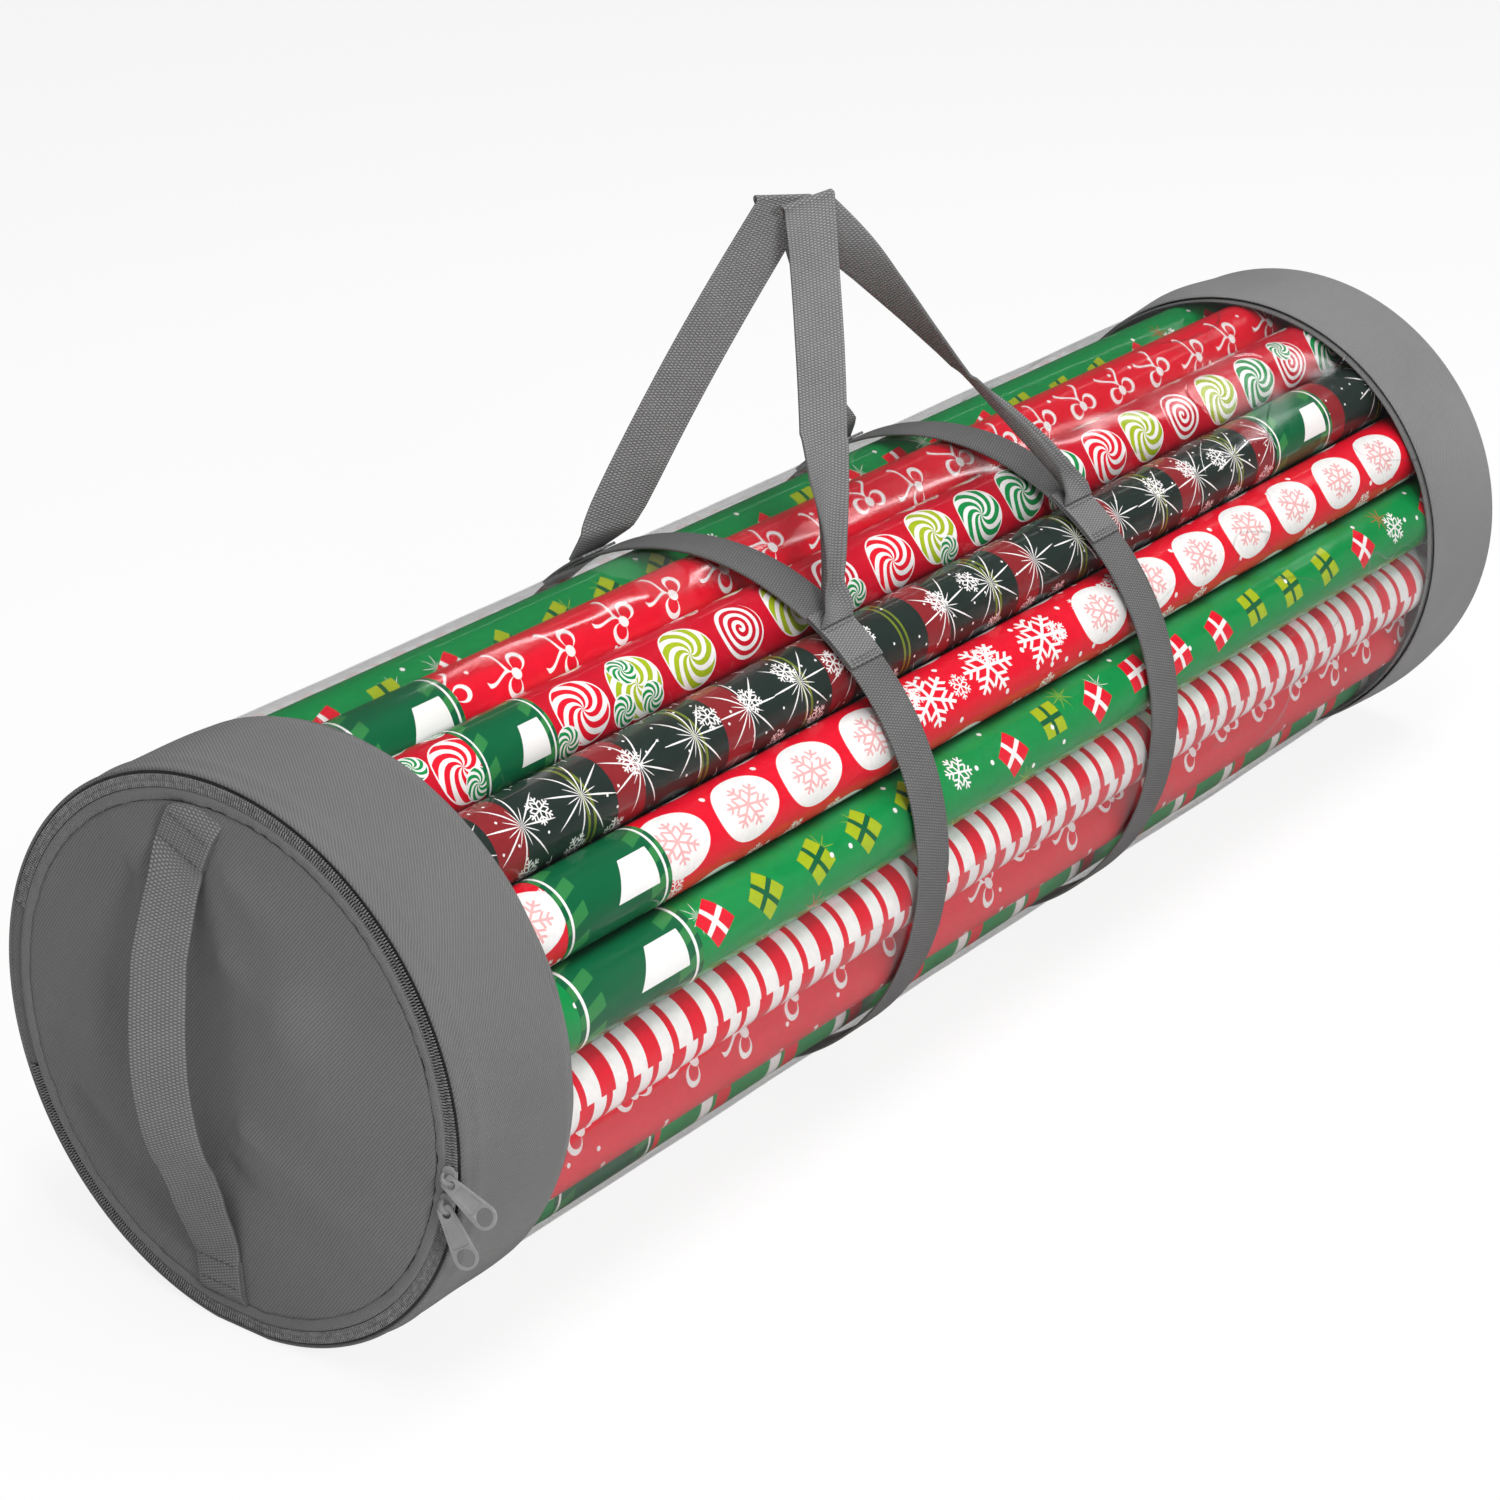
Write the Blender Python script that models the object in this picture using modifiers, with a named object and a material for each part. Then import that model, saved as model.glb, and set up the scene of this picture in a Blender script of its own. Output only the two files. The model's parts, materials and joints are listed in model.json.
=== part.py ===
"""Round gift wrap storage bag lying on its side, with a zipped end lid.

Metres, +Z up. The bag's axis runs along X and its lid faces -X. Pieces are
laid out from the centre of the front rim, and the whole assembly is then
set down with the middle of its base on the origin.
"""
import math

import bmesh
import bpy
from mathutils import Matrix, Vector

# The bag as a whole
BAG_LENGTH = 1.040
RIM_RADIUS = 0.150
FLOOR_DIP = 0.0010
GAP = 0.0003
TURN_STEPS = 60
MERGE = 0.00002
SMOOTH_ANGLE = math.radians(35.0)

# Woven end bands
BAND_WALL = 0.0012
FRONT_BAND_WIDTH = 0.0773
REAR_BAND_WIDTH = 0.0825
LIP_REACH = 0.0020
LIP_DEPTH = 0.0012
SEAM_ALLOWANCE = 0.012
SEAM_SHOW = 0.005
BINDING_WALL = 0.0008

# Clear film tube
FILM_WALL = 0.0006

# Webbing of the girth straps and handles
WEBBING_WIDTH = 0.0285
WEBBING_WALL = 0.0016
FRONT_STRAP_FROM_RIM = 0.3813
REAR_STRAP_FROM_RIM = 0.6193

# Rear end panel
REAR_PANEL_WALL = 0.0016
REAR_PANEL_CROWN = 0.008
REAR_CROWN_SHARES = (0.0, 0.35, 0.7, 0.92, 1.0)
PIPING_DEPTH = 0.0040
PIPING_REACH = 0.0042

# Zip chain between lid and front band
CHAIN_FROM_RIM = 0.0064
CHAIN_WIDTH = 0.0062
TOOTH_COUNT = 100
TOOTH_OVERLAP = 0.0008
TOOTH_SIDE_GAP = 0.00035
SPINE_WIDTH = 0.0017
CHAIN_DEPTH = 0.0020
CHAIN_PROUD = 0.0008
TAPE_WALL = 0.0008
TAPE_MARGIN = 0.0051
HINGE_HALF_ANGLE = math.radians(18.0)
STOP_ANGLE = math.radians(1.2)

# Lid
LID_SEAM_WIDTH = 0.0062
LID_SEAM_PROUD = 0.0008
LID_SEAM_DEPTH = 0.0020
LID_PANEL_WALL = 0.0016
LID_PANEL_CROWN = 0.0075
LID_CROWN_SHARES = (0.0, 0.3, 0.6, 0.85, 1.0)
HINGE_FROM_CHAIN = 0.0012
HINGE_LINE_GAP = 0.0002
GUSSET_ANGLE_GAP = math.radians(0.5)
GUSSET_STEPS = 8

# Lid grab handle
GRAB_END_MARGIN = 0.0077
GRAB_BULGE = 0.027
GRAB_BULGE_POWER = 1.5
GRAB_TAB_LENGTH = 0.021
GRAB_TOP_Y = 0.0135
GRAB_BOTTOM_Y = 0.0010
GRAB_STATIONS = 18
GRAB_TAB_STATIONS = 3

# Zip sliders and pull tabs
SLIDER_LENGTH = 0.0116
SLIDER_WIDTH = 0.0084
SLIDER_WALL = 0.0016
SLIDER_NOSE_WIDTH = 0.0056
BRIDGE_HALF_LENGTH = 0.0040
BRIDGE_LEG = 0.0014
BRIDGE_OPENING = 0.0030
BRIDGE_TOP = 0.0016
BRIDGE_WIDTH = 0.0024
PULL_WALL = 0.0015
PULL_LENGTH = 0.0315
PULL_NECK_WIDTH = 0.0070
PULL_EYE_RADIUS = 0.0060
PULL_EYE_HOLE = 0.0046
PULL_SLOT_WIDTH = 0.0034
PULL_PIN = 0.0015
PULL_SLOT_CLEAR = 0.0006
EYE_STEPS = 12
EYE_HOLE_STEPS = 16
UPPER_SLIDER_ANGLE = math.radians(185.0)
LOWER_SLIDER_ANGLE = math.radians(191.0)
UPPER_PULL_ANGLE = math.radians(206.0)
LOWER_PULL_ANGLE = math.radians(240.0)

# Carry handles and the tabs that hold them
HANDLE_ROOT_ANGLE = math.radians(60.0)
HANDLE_TAB_SPAN = math.radians(14.0)
HANDLE_TAB_STATIONS = 5
HANDLE_HEIGHT = 0.1842
NEAR_HANDLE_LEAN = -0.0020
FAR_HANDLE_LEAN = 0.0300
HANDLE_FOLD_RADIUS = 0.0013
HANDLE_NARROW_SHARE = 0.72
HANDLE_PINCH_END_SHARE = 0.5
HANDLE_FLARE_END_SHARE = 0.25
HANDLE_BELLY = 0.0040
HANDLE_STATIONS = 10
FOLD_STATIONS = 6

# Gift wrap rolls standing round the wall
ROLL_COUNT = 18
ROLL_PHASE = math.radians(9.0)
ROLL_END_ROOM = 0.012
ROLL_CORE_WALL = 0.0060
ROLL_STEPS = 20
ROLL_PAPERS = ("red", "green", "white", "red", "green", "white", "green", "green", "red",
               "red", "green", "red", "green", "white", "red", "green", "white", "green")

# Radii that follow from the layers
STRAP_OUTER = RIM_RADIUS - BAND_WALL + WEBBING_WALL
FILM_OUTER = RIM_RADIUS - BAND_WALL - GAP
FILM_INNER = FILM_OUTER - FILM_WALL
BINDING_OUTER = FILM_INNER - GAP
BINDING_INNER = BINDING_OUTER - BINDING_WALL
AXIS_HEIGHT = STRAP_OUTER - FLOOR_DIP
ROLL_RING = BINDING_INNER - GAP - FLOOR_DIP
TAB_OUTER = STRAP_OUTER + GAP + WEBBING_WALL
HANDLE_AXIS_RADIUS = TAB_OUTER + GAP + WEBBING_WALL / 2
FRONT_SEAM = FRONT_BAND_WIDTH
REAR_SEAM = BAG_LENGTH - REAR_BAND_WIDTH
CHAIN_RADIUS = RIM_RADIUS - CHAIN_FROM_RIM
CHAIN_INNER = CHAIN_RADIUS - CHAIN_WIDTH / 2
CHAIN_OUTER = CHAIN_RADIUS + CHAIN_WIDTH / 2
HINGE_LINE = CHAIN_RADIUS - HINGE_FROM_CHAIN
TAPE_FRONT = LIP_DEPTH + GAP
LID_SEAM_OUTER = CHAIN_INNER - GAP
LID_SEAM_INNER = LID_SEAM_OUTER - LID_SEAM_WIDTH
PANEL_RADIUS = LID_SEAM_INNER - GAP
PANEL_EDGE = -LID_SEAM_PROUD / 2
GRAB_LENGTH = 2 * (PANEL_RADIUS - GRAB_END_MARGIN)
ROLL_LENGTH = BAG_LENGTH - 2 * ROLL_END_ROOM


def material(name, colour, roughness, alpha=1.0, metallic=0.0):
    """A Principled material in one plain colour."""
    made = bpy.data.materials.new(name)
    made.use_nodes = True
    shader = made.node_tree.nodes["Principled BSDF"]
    shader.inputs["Base Color"].default_value = (*colour, 1.0)
    shader.inputs["Roughness"].default_value = roughness
    shader.inputs["Metallic"].default_value = metallic
    shader.inputs["Alpha"].default_value = alpha
    made.diffuse_color = (*colour, alpha)
    return made


def link(name, mesh, finish, carrier):
    """Put a mesh in the bag's collection, carried by an empty."""
    piece = bpy.data.objects.new(name, mesh)
    piece.data.materials.clear()
    piece.data.materials.append(finish)
    bag.objects.link(piece)
    piece.parent = carrier
    piece.location = -Vector(carrier["place"])
    return piece


def tidy_mesh(mesh):
    """Weld, face outwards and shade a finished mesh."""
    work = bmesh.new()
    work.from_mesh(mesh)
    bmesh.ops.remove_doubles(work, verts=work.verts, dist=MERGE)
    bmesh.ops.recalc_face_normals(work, faces=work.faces)
    work.to_mesh(mesh)
    work.free()
    mesh.shade_smooth()
    mesh.set_sharp_from_angle(angle=SMOOTH_ANGLE)
    return mesh


def evaluated_mesh(guide):
    """The mesh of an object with its modifiers applied; the guide is removed."""
    bpy.context.view_layer.update()
    graph = bpy.context.evaluated_depsgraph_get()
    mesh = bpy.data.meshes.new_from_object(guide.evaluated_get(graph))
    data = guide.data
    bpy.data.objects.remove(guide)
    if isinstance(data, bpy.types.Curve):
        bpy.data.curves.remove(data)
    else:
        bpy.data.meshes.remove(data)
    return mesh


def turned(profile, steps=TURN_STEPS, closed=True):
    """Turn a profile of (x, radius) points about the X axis."""
    mesh = bpy.data.meshes.new("profile")
    verts = [(radius, 0, x) for x, radius in profile]
    edges = [(i, i + 1) for i in range(len(verts) - 1)]
    if closed:
        edges.append((len(verts) - 1, 0))
    mesh.from_pydata(verts, edges, [])
    guide = bpy.data.objects.new("profile", mesh)
    workbench.objects.link(guide)
    screw = guide.modifiers.new("turn", "SCREW")
    screw.axis = "Z"
    screw.steps = steps
    screw.render_steps = steps
    screw.use_merge_vertices = True
    screw.merge_threshold = MERGE
    mesh = evaluated_mesh(guide)
    mesh.transform(Matrix.Rotation(math.pi / 2, 4, "Y"))
    return tidy_mesh(mesh)


def settled(mesh):
    """Flatten the base of a turned shell, as the soft bag does on a floor."""
    for vertex in mesh.vertices:
        radius = math.hypot(vertex.co.y, vertex.co.z)
        lowest = STRAP_OUTER - radius - AXIS_HEIGHT
        vertex.co.z = max(vertex.co.z, lowest)
    return mesh


def plate(outlines, depth, place):
    """A flat plate from 2D outlines, the first one outside and the rest holes."""
    curve = bpy.data.curves.new("outline", "CURVE")
    curve.dimensions = "2D"
    curve.fill_mode = "BOTH"
    curve.extrude = depth / 2
    for outline in outlines:
        spline = curve.splines.new("POLY")
        spline.points.add(len(outline) - 1)
        for point, (u, v) in zip(spline.points, outline):
            point.co = (u, v, 0, 1)
        spline.use_cyclic_u = True
    guide = bpy.data.objects.new("outline", curve)
    workbench.objects.link(guide)
    mesh = evaluated_mesh(guide)
    mesh.transform(place)
    return tidy_mesh(mesh)


def facing_plane(front, depth, centre_y=0.0, centre_z=0.0, turn=0.0):
    """Lay a 2D outline in the plane of the lid: u to +Y, v to +Z."""
    stand = Matrix(((0, 0, 1, 0), (1, 0, 0, 0), (0, 1, 0, 0), (0, 0, 0, 1)))
    spin = Matrix.Rotation(turn, 4, "X")
    return Matrix.Translation((front + depth / 2, centre_y, centre_z)) @ spin @ stand


def ribbon(pairs, wall):
    """A strip of webbing from pairs of edge points, given its wall by Solidify."""
    mesh = bpy.data.meshes.new("ribbon")
    verts = [point for pair in pairs for point in pair]
    faces = [(2 * i, 2 * i + 1, 2 * i + 3, 2 * i + 2) for i in range(len(pairs) - 1)]
    mesh.from_pydata(verts, [], faces)
    guide = bpy.data.objects.new("ribbon", mesh)
    workbench.objects.link(guide)
    solid = guide.modifiers.new("wall", "SOLIDIFY")
    solid.thickness = wall
    solid.offset = 0
    solid.use_even_offset = True
    return tidy_mesh(evaluated_mesh(guide))


def polar(radius, angle):
    """A point in the plane of the rim, from the hinge side at +Y."""
    return (radius * math.cos(angle), radius * math.sin(angle))


def arc(radius, start, end, steps):
    """Points along an arc in the plane of the rim."""
    return [polar(radius, start + (end - start) * i / steps) for i in range(steps + 1)]


def joined(first, second):
    """Join two closed meshes that overlap into one body."""
    base = bpy.data.objects.new("base", first)
    tool = bpy.data.objects.new("tool", second)
    for guide in (base, tool):
        workbench.objects.link(guide)
    union = base.modifiers.new("join", "BOOLEAN")
    union.operation = "UNION"
    union.solver = "EXACT"
    union.object = tool
    mesh = evaluated_mesh(base)
    bpy.data.objects.remove(tool)
    return tidy_mesh(mesh)


def joint_empty(name, place, parent):
    """An empty on a joint's axis; it remembers its place from the rim centre."""
    empty = bpy.data.objects.new(name, None)
    bag.objects.link(empty)
    empty["place"] = place
    empty.parent = parent
    empty.location = Vector(place) - Vector(parent["place"]) if parent else Vector(place)
    return empty


def make_bands():
    """The woven bands, folded in to a lip at the lid, plain at the rear."""
    inner = RIM_RADIUS - BAND_WALL
    front = [(0, RIM_RADIUS), (FRONT_SEAM, RIM_RADIUS), (FRONT_SEAM, inner), (LIP_DEPTH, inner),
             (LIP_DEPTH, RIM_RADIUS - LIP_REACH), (0, RIM_RADIUS - LIP_REACH)]
    link("front_band", settled(turned(front)), band_cloth, root)
    rear = [(REAR_SEAM, RIM_RADIUS), (BAG_LENGTH, RIM_RADIUS), (BAG_LENGTH, inner), (REAR_SEAM, inner)]
    link("rear_band", settled(turned(rear)), rear_cloth, root)


def make_film_tube():
    """The clear tube, with its ends inside the bands."""
    start = FRONT_SEAM - SEAM_ALLOWANCE
    end = REAR_SEAM + SEAM_ALLOWANCE
    profile = [(start, FILM_OUTER), (end, FILM_OUTER), (end, FILM_INNER), (start, FILM_INNER)]
    link("clear_tube", settled(turned(profile)), film, root)


def make_seam_bindings():
    """Cloth tape that binds each seam inside the tube and shows past it."""
    spans = {"front_seam_binding": (FRONT_SEAM - SEAM_ALLOWANCE, FRONT_SEAM + SEAM_SHOW),
             "rear_seam_binding": (REAR_SEAM - SEAM_SHOW, REAR_SEAM + SEAM_ALLOWANCE)}
    for name, (start, end) in spans.items():
        profile = [(start, BINDING_OUTER), (end, BINDING_OUTER), (end, BINDING_INNER),
                   (start, BINDING_INNER)]
        link(name, settled(turned(profile)), binding_cloth, root)


def make_rear_end():
    """The closed rear panel and the piping that covers its seam."""
    outer = RIM_RADIUS - BAND_WALL - GAP
    back = BAG_LENGTH
    inner = outer - PIPING_REACH
    piping = [(back - PIPING_DEPTH, outer), (back, outer), (back, inner), (back - PIPING_DEPTH, inner)]
    link("rear_piping", settled(turned(piping)), binding_cloth, root)
    edge = inner - GAP
    edge_x = back - PIPING_DEPTH / 2
    outside = [(edge_x + REAR_PANEL_CROWN * (1 - s * s), edge * s) for s in REAR_CROWN_SHARES]
    inside = [(x - REAR_PANEL_WALL, radius) for x, radius in reversed(outside)]
    link("rear_panel", settled(turned(outside + inside, closed=False)), rear_cloth, root)


def make_girth_straps():
    """The two webbing straps sewn round the tube."""
    centres = {"girth_strap_front": FRONT_STRAP_FROM_RIM, "girth_strap_rear": REAR_STRAP_FROM_RIM}
    for name, centre in centres.items():
        start = centre - WEBBING_WIDTH / 2
        end = centre + WEBBING_WIDTH / 2
        inner = STRAP_OUTER - WEBBING_WALL
        profile = [(start, STRAP_OUTER), (end, STRAP_OUTER), (end, inner), (start, inner)]
        link(name, settled(turned(profile)), webbing, root)


def tooth_row(spine, tip, half_pitches):
    """The outline of one zip row: a spine with teeth that reach past the centre."""
    start = HINGE_HALF_ANGLE + STOP_ANGLE
    pitch = (2 * math.pi - 2 * start) / TOOTH_COUNT
    tooth = pitch / 2 - 2 * TOOTH_SIDE_GAP / CHAIN_RADIUS
    toothed_edge = []
    plain_edge = []
    for index in range(TOOTH_COUNT - 1):
        middle = start + pitch / 2 * (2 * index + 1 + half_pitches)
        plain_edge.append(polar(spine[0], middle))
        toothed_edge += [polar(spine[1], middle - tooth / 2), polar(tip, middle - tooth / 2),
                         polar(tip, middle + tooth / 2), polar(spine[1], middle + tooth / 2)]
    return toothed_edge + plain_edge[::-1]


def make_zip():
    """Two meshing tooth rows on their tapes, and a stop at each of their ends."""
    lid_spine = CHAIN_INNER + SPINE_WIDTH
    band_spine = CHAIN_OUTER - SPINE_WIDTH
    place = facing_plane(LIP_DEPTH - CHAIN_DEPTH, CHAIN_DEPTH)
    lid_row = tooth_row((CHAIN_INNER, lid_spine), CHAIN_RADIUS + TOOTH_OVERLAP, 0)
    band_row = tooth_row((CHAIN_OUTER, band_spine), CHAIN_RADIUS - TOOTH_OVERLAP, 1)
    link("zip_teeth_lid_side", plate([lid_row], CHAIN_DEPTH, place), zip_teeth, lid)
    link("zip_teeth_band_side", plate([band_row], CHAIN_DEPTH, place), zip_teeth, root)
    steps = round(TURN_STEPS * (1 - HINGE_HALF_ANGLE / math.pi))
    ends = (HINGE_HALF_ANGLE, 2 * math.pi - HINGE_HALF_ANGLE)
    place = facing_plane(TAPE_FRONT, TAPE_WALL)
    lid_tape = arc(lid_spine, *ends, steps) + arc(CHAIN_INNER - TAPE_MARGIN, *reversed(ends), steps)
    link("zip_tape_lid_side", plate([lid_tape], TAPE_WALL, place), tape_cloth, lid)
    outside = RIM_RADIUS - BAND_WALL - GAP
    band_tape = arc(outside, *ends, steps) + arc(CHAIN_RADIUS + GAP + FLOOR_DIP, *reversed(ends), steps)
    link("zip_tape_band_side", settled(plate([band_tape], TAPE_WALL, place)), tape_cloth, root)


def make_hinge_gusset():
    """The cloth between the zip's two ends, on which the lid swings."""
    half = HINGE_HALF_ANGLE - GUSSET_ANGLE_GAP
    place = facing_plane(TAPE_FRONT, TAPE_WALL)
    outside = RIM_RADIUS - BAND_WALL - GAP
    line = HINGE_LINE + HINGE_LINE_GAP
    reach = math.acos(line / outside)
    fixed = arc(outside, -reach, reach, GUSSET_STEPS)
    link("hinge_gusset_band_side", plate([fixed], TAPE_WALL, place), band_cloth, root)
    inside = CHAIN_INNER - TAPE_MARGIN
    edge = CHAIN_RADIUS + CHAIN_WIDTH / 4
    line = HINGE_LINE - HINGE_LINE_GAP
    side = math.sqrt(edge * edge - line * line)
    corner = polar(edge, half)
    moving = arc(inside, half, -half, GUSSET_STEPS)
    moving += [(corner[0], -corner[1]), (line, -side), (line, side), corner]
    link("hinge_gusset_lid_side", plate([moving], TAPE_WALL, place), band_cloth, lid)


def panel_front(radius):
    """How far forward the lid panel's crown stands at a radius."""
    share = radius / PANEL_RADIUS
    return PANEL_EDGE - LID_PANEL_CROWN * (1 - share * share)


def make_lid_panel():
    """The crowned round panel and the gathered facing sewn round it."""
    outside = [(panel_front(PANEL_RADIUS * s), PANEL_RADIUS * s) for s in LID_CROWN_SHARES]
    inside = [(x + LID_PANEL_WALL, radius) for x, radius in reversed(outside)]
    link("lid_panel", turned(outside + inside, closed=False), lid_cloth, lid)
    front = -LID_SEAM_PROUD
    back = front + LID_SEAM_DEPTH
    profile = [(front, LID_SEAM_OUTER), (back, LID_SEAM_OUTER), (back, LID_SEAM_INNER),
               (front, LID_SEAM_INNER)]
    link("lid_facing", turned(profile), lid_cloth, lid)


def grab_station(share, lift):
    """A pair of edge points across the grab handle, from its top to its bottom."""
    z = GRAB_LENGTH / 2 * (1 - 2 * share)
    y = GRAB_TOP_Y + (GRAB_BOTTOM_Y - GRAB_TOP_Y) * share
    edge = math.hypot(abs(y) + WEBBING_WIDTH / 2, z)
    front = panel_front(min(edge, math.hypot(y, z)))
    x = front - GAP - WEBBING_WALL / 2 - lift
    half = WEBBING_WIDTH / 2
    return ((x, y + half, z), (x, y - half, z))


def make_grab_handle():
    """The webbing grab strap down the lid, with its folded ends."""
    tab_share = GRAB_TAB_LENGTH / GRAB_LENGTH
    tab_lift = WEBBING_WALL + GAP
    pairs = []
    for index in range(GRAB_STATIONS + 1):
        share = index / GRAB_STATIONS
        slack = (share - tab_share) / (1 - 2 * tab_share)
        slack = min(max(slack, 0), 1)
        bulge = GRAB_BULGE * math.sin(math.pi * slack) ** GRAB_BULGE_POWER
        pairs.append(grab_station(share, tab_lift + bulge))
    link("lid_grab_handle", ribbon(pairs, WEBBING_WALL), webbing, lid)
    for name, start in (("grab_handle_top_tab", 0), ("grab_handle_bottom_tab", 1 - tab_share)):
        shares = [start + tab_share * i / GRAB_TAB_STATIONS for i in range(GRAB_TAB_STATIONS + 1)]
        pairs = [grab_station(share, 0) for share in shares]
        link(name, ribbon(pairs, WEBBING_WALL), webbing, lid)


def slider_mesh(plate_angle, bridge_turn):
    """A slider plate over the chain with the bridge that holds its pull."""
    half = SLIDER_LENGTH / 2
    wide = SLIDER_WIDTH / 2
    nose = SLIDER_NOSE_WIDTH / 2
    outline = [(-nose, -half), (nose, -half), (wide, -half + nose), (wide, half - nose), (nose, half),
               (-nose, half), (-wide, half - nose), (-wide, -half + nose)]
    centre = polar(CHAIN_RADIUS, plate_angle)
    back = LIP_DEPTH - CHAIN_DEPTH - GAP
    front = back - SLIDER_WALL
    body = plate([outline], SLIDER_WALL, facing_plane(front, SLIDER_WALL, *centre, plate_angle))
    foot = SLIDER_WALL / 2
    inside = BRIDGE_HALF_LENGTH - BRIDGE_LEG
    height = BRIDGE_OPENING + BRIDGE_TOP
    arch = [(-BRIDGE_HALF_LENGTH, -foot), (-inside, -foot), (-inside, BRIDGE_OPENING),
            (inside, BRIDGE_OPENING), (inside, -foot), (BRIDGE_HALF_LENGTH, -foot),
            (BRIDGE_HALF_LENGTH, height - BRIDGE_LEG / 2),
            (inside, height), (-inside, height), (-BRIDGE_HALF_LENGTH, height - BRIDGE_LEG / 2)]
    upright = Matrix(((0, -1, 0, 0), (1, 0, 0, 0), (0, 0, 1, 0), (0, 0, 0, 1)))
    place = Matrix.Translation((front, *centre)) @ Matrix.Rotation(bridge_turn, 4, "X") @ upright
    return joined(body, plate([arch], BRIDGE_WIDTH, place))


def pull_place(plate_angle, pull_angle):
    """The pull's hinge point and the turn that lays it along its direction."""
    centre = polar(CHAIN_RADIUS, plate_angle)
    front = LIP_DEPTH - CHAIN_DEPTH - GAP - SLIDER_WALL
    return Vector((front - BRIDGE_OPENING / 2, *centre)), pull_angle


def pull_outlines():
    """A flat tab that widens to a round eye, slotted where the bridge passes."""
    bar = PULL_PIN / 2
    neck = PULL_NECK_WIDTH / 2
    eye = PULL_LENGTH - PULL_EYE_RADIUS
    lean = math.asin((PULL_EYE_RADIUS - neck) / eye)
    outer = [(-bar, -neck), (bar, -neck)] + [
        (eye + PULL_EYE_RADIUS * math.cos(a), PULL_EYE_RADIUS * math.sin(a))
        for a in (-math.pi / 2 - lean + (math.pi + 2 * lean) * i / EYE_STEPS for i in range(EYE_STEPS + 1))]
    outer += [(bar, neck), (-bar, neck)]
    turns = [math.tau * i / EYE_HOLE_STEPS for i in range(EYE_HOLE_STEPS)]
    hole = [(eye + PULL_EYE_HOLE * math.cos(turn), PULL_EYE_HOLE * math.sin(turn)) for turn in turns]
    far = math.hypot(BRIDGE_HALF_LENGTH, BRIDGE_OPENING / 2 + BRIDGE_TOP) + PULL_SLOT_CLEAR
    side = PULL_SLOT_WIDTH / 2
    slot = [(bar, -side), (far, -side), (far, side), (bar, side)]
    return [outer, hole, slot]


def make_sliders():
    """Both sliders on the chain, each with its pull tab hanging from it."""
    for name, at, pull_at in (("upper", UPPER_SLIDER_ANGLE, UPPER_PULL_ANGLE),
                              ("lower", LOWER_SLIDER_ANGLE, LOWER_PULL_ANGLE)):
        run = joint_empty(name + "_slider_run", (0, 0, 0), lid)
        link(name + "_zip_slider", slider_mesh(at, pull_at), zip_metal, run)
        hinge, turn = pull_place(at, pull_at)
        pivot = joint_empty(name + "_pull_pivot", hinge, run)
        place = facing_plane(hinge.x - PULL_WALL / 2, PULL_WALL, hinge.y, hinge.z, turn)
        link(name + "_zip_pull", plate(pull_outlines(), PULL_WALL, place), zip_metal, pivot)


def handle_tab(side, centre):
    """The folded webbing end sewn on a girth strap, running down its side."""
    radius = STRAP_OUTER + GAP + WEBBING_WALL / 2
    pairs = []
    for index in range(HANDLE_TAB_STATIONS + 1):
        angle = HANDLE_ROOT_ANGLE - HANDLE_TAB_SPAN * index / HANDLE_TAB_STATIONS
        y, z = polar(radius, angle)
        pairs.append(((centre - WEBBING_WIDTH / 2, side * y, z), (centre + WEBBING_WIDTH / 2, side * y, z)))
    return ribbon(pairs, WEBBING_WALL)


def handle_pairs(side, apex_y):
    """Edge points of a handle: up one strand, over the flat fold, down the other."""
    root_y, root_z = polar(HANDLE_AXIS_RADIUS, HANDLE_ROOT_ANGLE)
    root_y *= side
    middle = (FRONT_STRAP_FROM_RIM + REAR_STRAP_FROM_RIM) / 2
    slope = math.atan((middle - FRONT_STRAP_FROM_RIM) / HANDLE_HEIGHT)
    crease = WEBBING_WIDTH / math.cos(slope) / 2
    pairs = []
    for index in range(HANDLE_STATIONS):
        share = index / HANDLE_STATIONS
        pinch_turn = math.pi * min(share / HANDLE_PINCH_END_SHARE, 1)
        pinch = 1 - (1 - HANDLE_NARROW_SHARE) * math.sin(pinch_turn) ** 2
        flare = (crease - WEBBING_WIDTH / 2) * min(share / HANDLE_FLARE_END_SHARE, 1)
        half = (WEBBING_WIDTH / 2 + flare) * pinch
        x = FRONT_STRAP_FROM_RIM + (middle - FRONT_STRAP_FROM_RIM) * share
        y = root_y + (apex_y - root_y) * share - HANDLE_FOLD_RADIUS * share
        y += side * HANDLE_BELLY * math.sin(math.pi * share)
        z = root_z + HANDLE_HEIGHT * share
        pairs.append(((x - half, y, z), (x + half, y, z)))
    fold = []
    for index in range(FOLD_STATIONS):
        angle = math.pi * index / (FOLD_STATIONS - 1)
        y = apex_y - HANDLE_FOLD_RADIUS * math.cos(angle)
        z = root_z + HANDLE_HEIGHT + HANDLE_FOLD_RADIUS * math.sin(angle)
        fold.append(((middle - crease, y, z), (middle + crease, y, z)))
    down = []
    for (left, right) in reversed(pairs):
        share = (left[2] - root_z) / HANDLE_HEIGHT
        y = left[1] + 2 * HANDLE_FOLD_RADIUS * share
        down.append(((2 * middle - right[0], y, left[2]), (2 * middle - left[0], y, left[2])))
    return pairs + fold + down


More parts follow.
